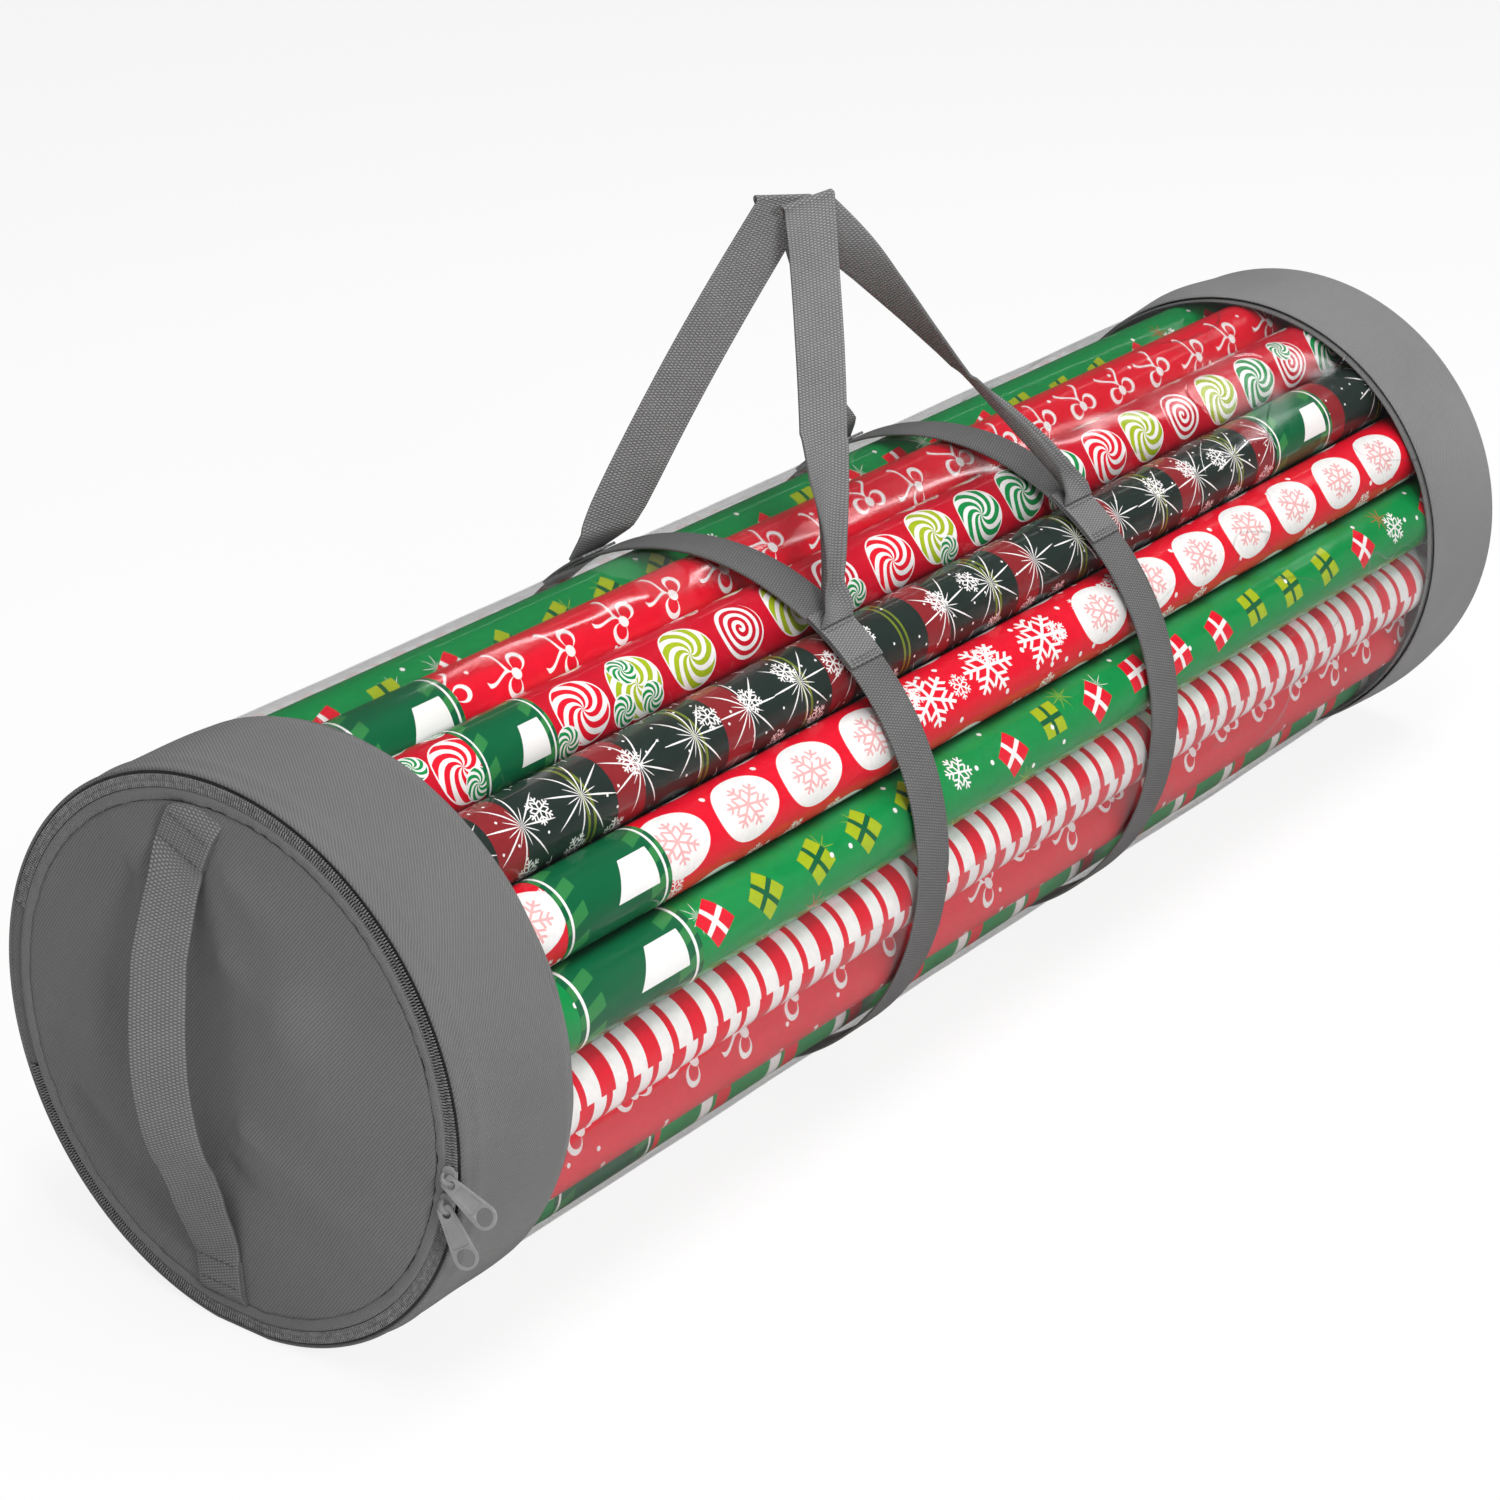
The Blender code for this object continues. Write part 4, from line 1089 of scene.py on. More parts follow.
def cut_plate(outlines, wall, edge):
    """A flat plate with rounded edges, from outlines, the first outside and the rest holes."""
    curve = bpy.data.curves.new("outline", "CURVE")
    curve.dimensions = "2D"
    curve.fill_mode = "BOTH"
    curve.extrude = wall / 2 - edge
    curve.bevel_depth = edge
    curve.bevel_resolution = 2
    curve.offset = -edge
    for outline in outlines:
        spline = curve.splines.new("POLY")
        spline.points.add(len(outline) - 1)
        for point, (u, v) in zip(spline.points, outline):
            point.co = (u, v, 0, 1)
        spline.use_cyclic_u = True
    guide = bpy.data.objects.new("outline", curve)
    bpy.context.scene.collection.objects.link(guide)
    bpy.context.view_layer.update()
    flat = guide.evaluated_get(bpy.context.evaluated_depsgraph_get())
    mesh = bpy.data.meshes.new_from_object(flat)
    work = bmesh.new()
    work.from_mesh(mesh)
    bmesh.ops.remove_doubles(work, verts=work.verts, dist=0.000005)
    bmesh.ops.recalc_face_normals(work, faces=work.faces)
    bpy.data.objects.remove(guide)
    bpy.data.curves.remove(curve)
    bpy.data.meshes.remove(mesh)
    return work


def add_to(work, other, place):
    """Move a mesh and add it to another one."""
    bmesh.ops.transform(other, matrix=place, verts=other.verts)
    mesh = bpy.data.meshes.new("add")
    other.to_mesh(mesh)
    other.free()
    work.from_mesh(mesh)
    bpy.data.meshes.remove(mesh)


def circle(u, radius, steps):
    """Points round a circle whose centre is a distance along."""
    return arc(u, radius, steps, 0.0, math.tau)[:-1]


def arc(u, radius, steps, start, sweep):
    """Points along an arc whose centre is a distance along, its ends included."""
    turns = [start + sweep * i / steps for i in range(steps + 1)]
    return [(u + radius * math.cos(turn), radius * math.sin(turn)) for turn in turns]


def pull_outline():
    """The pull's outline, from its neck to its round eye end."""
    neck, corner, start = PULL_NECK / 2, PULL_CORNER, PULL_START
    lean = math.asin((PULL_EYE - neck) / EYE_MIDDLE)
    end = arc(EYE_MIDDLE, PULL_EYE, 28, -math.pi / 2 - lean, math.pi + 2 * lean)
    back = [(start, neck - corner), (start + corner * 0.3, neck - corner * 0.3), (start + corner, neck)]
    return [(u, -v) for u, v in back] + end + back[::-1]


def make_pull():
    """A raised rim round a thinner face, a big eye, and a slot for the bridge."""
    eye = circle(EYE_MIDDLE, PULL_HOLE, 32)
    slot = [(max(u, SLOT_START), v) for u, v in circle(SLOT_MIDDLE, SLOT_RADIUS, 16)]
    work = cut_plate([pull_outline(), eye, slot], PULL_WALL * 0.62, 0.00022)
    for sign in (-1, 1):
        rim = cut_plate([pull_outline(), eye, slot, window_outline()], PULL_WALL * 0.30, 0.00016)
        add_to(work, rim, Matrix.Translation((0, 0, sign * PULL_WALL * 0.36)))
    return work


def window_outline():
    """The sunk face between the slot and the eye."""
    near, far = 0.0074, EYE_MIDDLE - PULL_HOLE - 0.0011
    low, high = PULL_NECK / 2 - 0.0008, PULL_NECK / 2 + 0.0006
    return [(near, -low), (far, -high), (far + 0.0003, 0), (far, high), (near, low)]


def make_slider_body(bridge_turn):
    """The slider's face plate with its side flanges, nose and bowed bridge."""
    half, wide, nose = SLIDER_LENGTH / 2, SLIDER_WIDTH / 2, 0.0028
    shoulder = [(u, v + half - wide * 0.8) for u, v in arc(0, wide, 14, 0.15, math.pi - 0.3)]
    outline = shoulder + [(u, v + nose - half) for u, v in arc(0, nose, 12, math.pi, math.pi)]
    work = bmesh.new()
    add_to(work, cut_plate([outline], SLIDER_PLATE, 0.0003), Matrix())
    long, short = FLANGE_LENGTHS
    side = [(-long, -FLANGE_HEIGHT), (long, -FLANGE_HEIGHT), (short, FLANGE_HEIGHT), (-short, FLANGE_HEIGHT)]
    for sign in (-1, 1):
        flange = cut_plate([side], 0.0009, 0.0002)
        spot = Matrix.Translation((sign * (wide - 0.0006), 0.0006, -SLIDER_PLATE * 0.5 - 0.0001))
        add_to(work, flange, spot @ Matrix.Rotation(math.pi / 2, 4, "Z"))
    bow = arc(0, BRIDGE_INNER, 14, 0, math.pi) + arc(0, BRIDGE_OUTER, 14, math.pi, -math.pi)
    bridge = cut_plate([[(u, v * BRIDGE_RISE) for u, v in bow]], BRIDGE_WIDTH, 0.0003)
    upright = Matrix.Rotation(bridge_turn, 4, "Z") @ Matrix.Rotation(math.pi / 2, 4, "X")
    add_to(work, bridge, Matrix.Translation((0, 0, SLIDER_PLATE * 0.5 - 0.0004)) @ upright)
    return work


def make_sliders():
    """Both sliders and their pulls, set on the chain and turned as they hang."""
    for side in ("upper", "lower"):
        angle, hang = SLIDER_ANGLES[side], PULL_ANGLES[side]
        across, up = CHAIN_RADIUS * math.cos(angle), CHAIN_RADIUS * math.sin(angle)
        stand = Matrix(((0, 0, -1, 0), (1, 0, 0, 0), (0, -1, 0, 0), (0, 0, 0, 1)))
        work = make_slider_body(-(hang - angle))
        spot = Matrix.Translation((span_of(side + "_zip_slider")[1] - SLIDER_PLATE / 2, across, up))
        bmesh.ops.transform(work, matrix=spot @ Matrix.Rotation(angle, 4, "X") @ stand, verts=work.verts)
        body = set_out(side + "_slider_body", work, zip_paint)
        hand_over(body, side + "_slider", "zip_metal", side + "_zip_slider")
        low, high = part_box(side + "_zip_pull")
        work = make_pull()
        lay = stand @ Matrix.Rotation(PULL_ROLL, 4, "X")
        spot = Matrix.Translation(((low.x + high.x) / 2 - BAG_PLACE.x, across, up))
        bmesh.ops.transform(work, matrix=spot @ Matrix.Rotation(hang, 4, "X") @ lay, verts=work.verts)
        pull = set_out(side + "_pull_tab", work, zip_paint)
        hand_over(pull, side + "_pull", "zip_metal", side + "_zip_pull")


zip_paint = make_paint_finish()
make_sliders()

# Each carry handle is one length of webbing. Its ends are folded and sewn to
# the girth straps with bars of stitching, and it folds flat at the top.
ROOT_ANGLE = math.radians(60.0)
TAB_SPAN = math.radians(14.0)
HANDLE_AXIS_RADIUS = STRAP_RADIUS + 0.0030
SEWN_RADIUS = STRAP_RADIUS + 0.0003 + WEBBING_WALL * 1.5
TAB_RADIUS = STRAP_RADIUS + 0.0003 + WEBBING_WALL / 2
TAB_BARS = (0.30, 0.36, 0.90, 0.95)
HANDLE_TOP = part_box("near_carry_handle")[1].z - BAG_PLACE.z
HANDLE_HEIGHT = HANDLE_TOP - HANDLE_AXIS_RADIUS * math.sin(ROOT_ANGLE)
HANDLE_DROP = {"near": 0.0090, "far": 0.0100}
HANDLE_APEX_Y = {"near": 0.0225, "far": 0.0385}
HANDLE_TURNS = {"near": ((0, 0), (0.18, 0), (0.40, 20), (0.65, 28), (1, 30)),
                "far": ((0, 0), (0.06, 30), (0.25, 48), (1, 52))}
HANDLE_TWISTS = {"near": ((0, 0), (0.10, 0.10), (0.24, 0.30), (0.40, 0.46), (0.53, 0.57),
                          (0.8, 0.74), (1, 1)),
                 "far": ((0, 0), (0.12, 0.55), (0.24, 0.64), (0.86, 0.66), (1, 1))}
HANDLE_TILT = {"near": 0.22, "far": 0.02}
HANDLE_REAR_BOW = {"near": -0.0040, "far": 0.0040}
HANDLE_SIDE = {"near": -1, "far": 1}
FOLD_RADIUS = 0.0022
HANDLE_PINCHES = {"near": ((0, 1.0), (0.05, 0.42), (0.12, 0.50), (0.30, 0.90), (0.42, 1.0)),
                  "far": ((0, 1.0), (1, 1.0))}
ROOT_REACH = math.radians(4.0)
HANDLE_BEND = (-0.004, 0.034)
STRAND_SHARE = 0.46
NO_CUP = Vector((0, 0, 0))


def handle_path(which):
    """The run of one handle, from the front strap up, over the fold and down to the rear strap.

    Its rear strand makes half a turn on the way down, as the fold shows its inner face.
    """
    side, apex_y = HANDLE_SIDE[which], HANDLE_APEX_Y[which]
    root_y = side * HANDLE_AXIS_RADIUS * math.cos(ROOT_ANGLE)
    root_z = HANDLE_AXIS_RADIUS * math.sin(ROOT_ANGLE)
    front, rear = STRAP_PLACES
    middle = (front + rear) / 2
    height = HANDLE_HEIGHT - HANDLE_DROP[which]
    apex_turn = HANDLE_TURNS[which][-1][1]

    def strand(rise, sign):
        bow = side * 0.0040 * math.sin(math.pi * rise)
        if sign < 0:
            bow = HANDLE_REAR_BOW[which] * math.sin(math.pi * rise ** 2)
        y = root_y + (apex_y - root_y) * rise - sign * FOLD_RADIUS * rise + bow
        z = root_z + height * rise
        climb = Vector((sign * (middle - front), apex_y - root_y, height)).normalized()
        turn = read_off(HANDLE_TURNS[which], rise)
        if sign < 0:
            turn = apex_turn + (180 - apex_turn) * read_off(HANDLE_TWISTS[which], 1 - rise)
        turn = math.radians(turn)
        level = Vector((math.cos(turn), -math.sin(turn), 0))
        tilt = HANDLE_TILT[which] * math.exp(-((1 - rise) / 0.10) ** 2)
        along = climb * level.dot(climb) * 0.8 * math.sin(math.pi * rise)
        square = level - along + Vector((0, 0, tilt))
        square.normalize()
        spread = WEBBING_WIDTH / 2 / math.sqrt(1 - square.dot(climb) ** 2)
        if rise < 0.12:
            spread += (WEBBING_WIDTH / 2 - spread) * (1 - rise / 0.12)
        x = front + (middle - front) * rise
        pinch = read_off(HANDLE_PINCHES[which], rise)
        outward = square.cross(climb)
        outward *= math.copysign(1, outward.y * side + outward.z * 0.3)
        cup = outward * spread * 0.8 * math.sqrt(1 - pinch * pinch)
        spread *= pinch
        low = max(0, 1 - rise / 0.04)
        low_angle = ROOT_ANGLE - ROOT_REACH
        y += low * (side * SEWN_RADIUS * math.cos(low_angle) - root_y)
        z += low * (SEWN_RADIUS * math.sin(low_angle) - root_z)
        return Vector((x if sign > 0 else 2 * middle - x, y, z)), square * spread, cup

    def path(share):
        if share < STRAND_SHARE:
            return strand(share / STRAND_SHARE, 1)
        if share > 1 - STRAND_SHARE:
            return strand((1 - share) / STRAND_SHARE, -1)
        blend = (share - STRAND_SHARE) / (1 - 2 * STRAND_SHARE)
        turn = math.pi * blend
        before, after = strand(1, 1)[1], strand(1, -1)[1]
        y = apex_y - FOLD_RADIUS * math.cos(turn)
        z = root_z + height + FOLD_RADIUS * math.sin(turn)
        return Vector((middle, y, z)), before.lerp(after, blend), NO_CUP
    return path


def tab_line(side, centre, radius):
    """A sewn tab's run down the side of its girth strap."""
    def path(share):
        angle = ROOT_ANGLE - TAB_SPAN * share
        middle = Vector((centre, side * radius * math.cos(angle), radius * math.sin(angle)))
        return middle, Vector((WEBBING_WIDTH / 2, 0, 0)), NO_CUP
    return path


def make_carry_handles():
    """Both handles, their four tabs and the bars of stitching."""
    for which, side in HANDLE_SIDE.items():
        strap = lay_webbing(f"{which}_handle_webbing", handle_path(which), 150)
        root = BAG_PLACE + Vector((0, 0, HANDLE_AXIS_RADIUS * math.sin(ROOT_ANGLE)))
        bend_over(strap, "webbing", which + "_handle", root + Vector((0, 0, HANDLE_BEND[0])),
                  root + Vector((0, 0, HANDLE_BEND[1])), which + "_carry_handle")
        for end, centre in zip(("front", "rear"), STRAP_PLACES):
            tab = lay_webbing(f"{which}_{end}_tab_webbing", tab_line(side, centre, TAB_RADIUS), 14)
            hand_over(tab, "root", "webbing", f"{which}_handle_tab_{end}")
            line = tab_line(side, centre, TAB_RADIUS + WEBBING_WALL / 2 + 0.0002)
            bars = []
            for share in TAB_BARS:
                middle, half, _ = line(share)
                bars.append((middle - half * 0.86, middle + half * 0.86))
            sew(f"{which}_{end}_tab_stitches", bars, "root")


make_carry_handles()

# The rolls of gift wrap are printed paper wound on card cores. Each is sealed
# in clear shrink film, and some have a plain label band round one end.
ROLL_COUNT = 18
ROLL_PHASE = math.radians(9.0)
roll_low, roll_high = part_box("wrap_roll_09")
ROLL_RADIUS = (roll_high.z - roll_low.z) / 2
ROLL_START = span_of("wrap_roll_09")[0]
ROLL_LENGTH = roll_high.x - roll_low.x
ROLL_SOFT_END = 0.0012
ROLL_STEPS = 48
ROLL_LOOSE_TURN = 0.09
LABEL_WALL = 0.00018
CORE_RADIUS = 0.0160
BORE_RADIUS = 0.0148
ROLL_TURN = math.tau * ROLL_RADIUS
FACING_TURN = math.radians(85.0)
# Painted shade on the rolls: the paper is drawn darker near this distance from the axis, where the rolls
# touch.
GAP_RADIUS = 0.1215
GAP_REACH = 0.0105
GAP_DARKEST = 0.10


def make_cells():
    """Cells over a roll's paper, each with its own place, turn and number."""
    inputs = {"Paper": "Vector"}
    inputs.update({label: "Float" for label in ("Size", "Shift", "Stagger", "Loose", "Spin")})
    tree, given, result = open_group("paper_cells", inputs, {"Motif": "Vector", "Chance": "Float"})
    place = parted(tree, given["Paper"])
    v = maths(tree, "DIVIDE", place[1], given["Size"])
    row = maths(tree, "FLOOR", v)
    u = maths(tree, "DIVIDE", maths(tree, "ADD", place[0], given["Shift"]), given["Size"])
    odd = maths(tree, "MODULO", maths(tree, "ABSOLUTE", row), 2.0)
    u = maths(tree, "ADD", u, maths(tree, "MULTIPLY", odd, given["Stagger"]))
    column = maths(tree, "FLOOR", u)
    cell = wire(tree, "CombineXYZ", (column, row, given["Shift"])).outputs[0]
    chance = wire(tree, "TexWhiteNoise", {"Vector": cell}, noise_dimensions="3D").outputs
    parts = wire(tree, "SeparateColor", (chance["Color"],)).outputs
    du = maths(tree, "SUBTRACT", maths(tree, "SUBTRACT", u, column), 0.5)
    dv = maths(tree, "SUBTRACT", maths(tree, "SUBTRACT", v, row), 0.5)
    du = maths(tree, "MULTIPLY_ADD", maths(tree, "SUBTRACT", parts[0], 0.5), given["Loose"], du)
    dv = maths(tree, "MULTIPLY_ADD", maths(tree, "SUBTRACT", parts[1], 0.5), given["Loose"], dv)
    spun = maths(tree, "MULTIPLY", parts[2], given["Spin"])
    flat = wire(tree, "CombineXYZ", (du, dv, 0.0)).outputs[0]
    inputs = {"Vector": flat, "Angle": spun}
    turned = wire(tree, "VectorRotate", inputs, rotation_type="Z_AXIS").outputs[0]
    tree.links.new(turned, result["Motif"])
    tree.links.new(chance["Value"], result["Chance"])
    return tree


def motif(name, draw):
    """A motif as a group: a mask over one cell, drawn from its size, distance, angle and place."""
    tree, given, result = open_group(name, {"Motif": "Vector", "Size": "Float"}, {"Mask": "Float"})
    place = parted(tree, given["Motif"])
    far = wire(tree, "VectorMath", (given["Motif"],), operation="LENGTH").outputs["Value"]
    angle = maths(tree, "ARCTAN2", place[1], place[0])
    tree.links.new(draw(tree, given["Size"], far, angle, place), result["Mask"])
    return tree


def scaled(tree, value, share):
    """A value times a share."""
    return maths(tree, "MULTIPLY", value, share)


def both(tree, first, second):
    """Where two masks meet."""
    return maths(tree, "MULTIPLY", first, second)


def between(tree, value, low, high):
    """A mask, 1 where a value lies between two others."""
    return both(tree, maths(tree, "GREATER_THAN", value, low), maths(tree, "LESS_THAN", value, high))


def draw_disc(tree, size, far, angle, place):
    """A full round."""
    return maths(tree, "LESS_THAN", far, size)


def draw_star(tree, size, far, angle, place):
    """Long and short needles in turn, thick at the middle."""
    needle = maths(tree, "ABSOLUTE", maths(tree, "SINE", maths(tree, "MULTIPLY", angle, 8.0)))
    short = maths(tree, "ABSOLUTE", maths(tree, "COSINE", maths(tree, "MULTIPLY", angle, 4.0)))
    reach = scaled(tree, size, maths(tree, "MULTIPLY_ADD", short, 0.55, 0.45))
    fade = maths(tree, "SUBTRACT", 1.0, maths(tree, "DIVIDE", far, reach))
    return maths(tree, "LESS_THAN", needle, scaled(tree, fade, 0.62))


def draw_flake(tree, size, far, angle, place):
    """Six arms, each with two pairs of side twigs."""
    sector = maths(tree, "PINGPONG", angle, math.pi / 6)
    along = maths(tree, "MULTIPLY", far, maths(tree, "COSINE", sector))
    aside = maths(tree, "MULTIPLY", far, maths(tree, "SINE", sector))
    thin = scaled(tree, size, 0.055)
    mask = maths(tree, "LESS_THAN", aside, thin)
    for at, reach in ((0.42, 0.34), (0.70, 0.26)):
        start = scaled(tree, size, at)
        lean = maths(tree, "SUBTRACT", maths(tree, "MULTIPLY_ADD", aside, -0.62, along), start)
        twig = maths(tree, "LESS_THAN", maths(tree, "ABSOLUTE", lean), scaled(tree, thin, 1.1))
        inside = maths(tree, "LESS_THAN", aside, scaled(tree, size, reach))
        mask = maths(tree, "MAXIMUM", mask, both(tree, twig, inside))
    return both(tree, mask, maths(tree, "LESS_THAN", far, size))


def draw_bow(tree, size, far, angle, place):
    """Two loops of ribbon and two tails."""
    lobe = maths(tree, "COSINE", maths(tree, "MULTIPLY", angle, 2.0))
    edge = scaled(tree, size, maths(tree, "SQRT", maths(tree, "MAXIMUM", lobe, 0.0)))
    ring = maths(tree, "ABSOLUTE", maths(tree, "MULTIPLY_ADD", edge, -0.78, far))
    thin = scaled(tree, size, 0.10)
    on_ring = maths(tree, "LESS_THAN", ring, thin)
    loops = both(tree, on_ring, maths(tree, "GREATER_THAN", lobe, 0.0))
    leg = maths(tree, "ABSOLUTE", place[0])
    bend = scaled(tree, maths(tree, "SINE", maths(tree, "MULTIPLY", place[1], 14.0)), 0.07)
    run = maths(tree, "MULTIPLY_ADD", place[1], -0.55, bend)
    gap = maths(tree, "ABSOLUTE", maths(tree, "SUBTRACT", leg, run))
    tail = maths(tree, "LESS_THAN", gap, scaled(tree, thin, 0.8))
    below = maths(tree, "LESS_THAN", place[1], 0.0)
    near = maths(tree, "LESS_THAN", far, scaled(tree, size, 1.32))
    tails = both(tree, both(tree, tail, below), near)
    knot = maths(tree, "LESS_THAN", far, scaled(tree, size, 0.2))
    return maths(tree, "MAXIMUM", maths(tree, "MAXIMUM", loops, tails), knot)


def draw_pinwheel(tree, size, far, angle, place):
    """Curved blades in a round; the size sets the round."""
    swirl = maths(tree, "MULTIPLY_ADD", far, 5.0, angle)
    blade = maths(tree, "SINE", maths(tree, "MULTIPLY", swirl, 7.0))
    inside = maths(tree, "LESS_THAN", far, size)
    return both(tree, maths(tree, "GREATER_THAN", blade, -0.1), inside)


def draw_spiral(tree, size, far, angle, place):
    """A line that winds out from the middle."""
    share = maths(tree, "DIVIDE", far, size)
    winding = maths(tree, "MULTIPLY_ADD", share, 3.4 * math.tau, angle)
    line = maths(tree, "GREATER_THAN", maths(tree, "SINE", winding), 0.05)
    return both(tree, line, maths(tree, "LESS_THAN", far, size))


def draw_box(tree, size, far, angle, place):
    """A square."""
    across, up = maths(tree, "ABSOLUTE", place[0]), maths(tree, "ABSOLUTE", place[1])
    return maths(tree, "LESS_THAN", maths(tree, "MAXIMUM", across, up), size)


def draw_cross(tree, size, far, angle, place):
    """The ribbon over a square: a thin cross."""
    across, up = maths(tree, "ABSOLUTE", place[0]), maths(tree, "ABSOLUTE", place[1])
    band = maths(tree, "LESS_THAN", maths(tree, "MINIMUM", across, up), scaled(tree, size, 0.16))
    return both(tree, band, maths(tree, "LESS_THAN", maths(tree, "MAXIMUM", across, up), size))


paper_cells = make_cells()
MOTIFS = {name: motif("motif_" + name, draw) for name, draw in (
    ("disc", draw_disc), ("star", draw_star), ("flake", draw_flake), ("bow", draw_bow),
    ("pinwheel", draw_pinwheel), ("spiral", draw_spiral), ("box", draw_box), ("cross", draw_cross))}

WHITE = (0.86, 0.84, 0.83, 1)
RED = (0.74, 0.004, 0.022, 1)
DEEP_RED = (0.56, 0.003, 0.020, 1)
GREEN = (0.002, 0.26, 0.060, 1)
DARK_GREEN = (0.002, 0.115, 0.042, 1)
LIME = (0.36, 0.46, 0.01, 1)
PINK = (0.80, 0.42, 0.42, 1)
CHARCOAL = (0.018, 0.030, 0.026, 1)
THIRD_TURN = ROLL_TURN / 3
QUARTER_TURN = ROLL_TURN / 4
SIXTH_TURN = ROLL_TURN / 6
FLECK_CELL = SIXTH_TURN / 1.5
BLOCK_REPEAT = 0.036
STRIPE_REPEAT = 0.060
LABEL_GREEN = (0.03, 0.22, 0.06, 1)


def over(tree, under, colour, mask):
    """Print a colour over what is there, through a mask."""
    return wire(tree, "Mix", {0: mask, 6: under, 7: colour}, data_type="RGBA").outputs[2]


def scatter(tree, paper, under, colour, shape, cell, size, keep=(0.0, 1.0), shift=0.0,
            stagger=0.5, loose=0.15, spin=math.tau):
    """Print one motif in the cells whose number falls in a span."""
    inputs = {"Paper": paper, "Size": cell, "Shift": shift, "Stagger": stagger, "Loose": loose,
              "Spin": spin}
    cells = wire(tree, "Group", inputs, node_tree=paper_cells).outputs
    inputs = {"Motif": cells["Motif"], "Size": size}
    drawn = wire(tree, "Group", inputs, node_tree=MOTIFS[shape]).outputs["Mask"]
    kept = between(tree, cells["Chance"], *keep)
    return over(tree, under, colour, both(tree, drawn, kept))


def plain_colour(tree, colour):
    """One colour, as a socket."""
    node = wire(tree, "RGB")
    node.outputs[0].default_value = colour
    return node.outputs[0]


def print_bows(tree, paper):
    """Red with white bows."""
    ink = scatter(tree, paper, plain_colour(tree, RED), WHITE, "bow", THIRD_TURN, 0.36, spin=1.2)
    return scatter(tree, paper, ink, WHITE, "disc", SIXTH_TURN, 0.06, (0.75, 1.0), 0.011)


def print_pinwheels(tree, paper):
    """Red with green, lime and white pinwheels and small rings."""
    ink = plain_colour(tree, DEEP_RED)
    ink = scatter(tree, paper, ink, WHITE, "disc", THIRD_TURN, 0.42, (0.0, 0.66), loose=0.1)
    for low, high, colour in ((0.0, 0.22, RED), (0.22, 0.44, GREEN), (0.44, 0.66, LIME)):
        ink = scatter(tree, paper, ink, colour, "pinwheel", THIRD_TURN, 0.40, (low, high), loose=0.1)
    ink = scatter(tree, paper, ink, WHITE, "spiral", THIRD_TURN, 0.38, (0.66, 1.0), loose=0.1)
    ink = scatter(tree, paper, ink, WHITE, "disc", SIXTH_TURN, 0.40, (0.80, 1.0), 0.013)
    return scatter(tree, paper, ink, GREEN, "pinwheel", SIXTH_TURN, 0.37, (0.80, 1.0), 0.013)


def print_plaid(tree, paper):
    """Dark plaid with white stars and flakes."""
    place = parted(tree, paper)
    ink = plain_colour(tree, CHARCOAL)
    lines = ((0.74, 0.76, LIME, 0.4), (0.79, 0.81, LIME, 0.4))
    for axis, length, shift, block in ((0, THIRD_TURN * 2, 0.0, (0.0, 0.24, DEEP_RED, 0.42)),
                                       (1, ROLL_TURN, 0.95, (0.42, 0.66, GREEN, 0.20))):
        turn = maths(tree, "FRACT", maths(tree, "MULTIPLY_ADD", place[axis], 1 / length, shift))
        for start, end, colour, share in (block, *lines):
            ink = over(tree, ink, colour, scaled(tree, between(tree, turn, start, end), share))
    ink = scatter(tree, paper, ink, WHITE, "star", THIRD_TURN, 0.56, (0.0, 0.72), loose=0.0)
    ink = scatter(tree, paper, ink, WHITE, "flake", QUARTER_TURN, 0.24, (0.45, 1.0), 0.02, loose=0.3)
    return scatter(tree, paper, ink, WHITE, "disc", SIXTH_TURN / 2, 0.07, (0.6, 1.0), loose=0.6)


def print_snow(tree, paper):
    """Red with big white discs, snowflakes and flecks."""
    longer = stretched(tree, paper, 0.80)
    ink = plain_colour(tree, RED)
    ink = scatter(tree, paper, ink, WHITE, "flake", QUARTER_TURN, 0.24, (0.40, 1.0), 0.008, loose=0.3)
    big = {"cell": THIRD_TURN, "stagger": 0.45}
    ink = scatter(tree, longer, ink, WHITE, "disc", size=0.42, keep=(0.0, 0.62), loose=0.05, **big)
    ink = scatter(tree, longer, ink, PINK, "flake", size=0.28, keep=(0.0, 0.62), loose=0.06, **big)
    ink = scatter(tree, longer, ink, WHITE, "flake", size=0.38, keep=(0.62, 1.0), **big)
    return scatter(tree, paper, ink, WHITE, "disc", FLECK_CELL, 0.11, (0.80, 1.0), 0.012, loose=0.5)


def print_gifts(tree, paper):
    """Green with small red and lime parcels and white flecks."""
    ink = plain_colour(tree, GREEN)
    for low, high, colour in ((0.50, 0.64, RED), (0.64, 0.76, LIME), (0.76, 0.90, WHITE)):
        ink = scatter(tree, paper, ink, colour, "star", QUARTER_TURN, 0.30, (low, high), 0.017,
                      loose=0.4)
    for low, high, colour, ribbon in ((0.0, 0.42, RED, WHITE), (0.42, 0.74, LIME, DARK_GREEN)):
        ink = scatter(tree, paper, ink, colour, "box", THIRD_TURN, 0.22, (low, high), spin=0.7)
        ink = scatter(tree, paper, ink, ribbon, "cross", THIRD_TURN, 0.22, (low, high), spin=0.7)
    ink = scatter(tree, paper, ink, WHITE, "flake", THIRD_TURN, 0.24, (0.74, 1.0))
    return scatter(tree, paper, ink, WHITE, "disc", FLECK_CELL, 0.10, (0.82, 1.0), 0.007, loose=0.5)


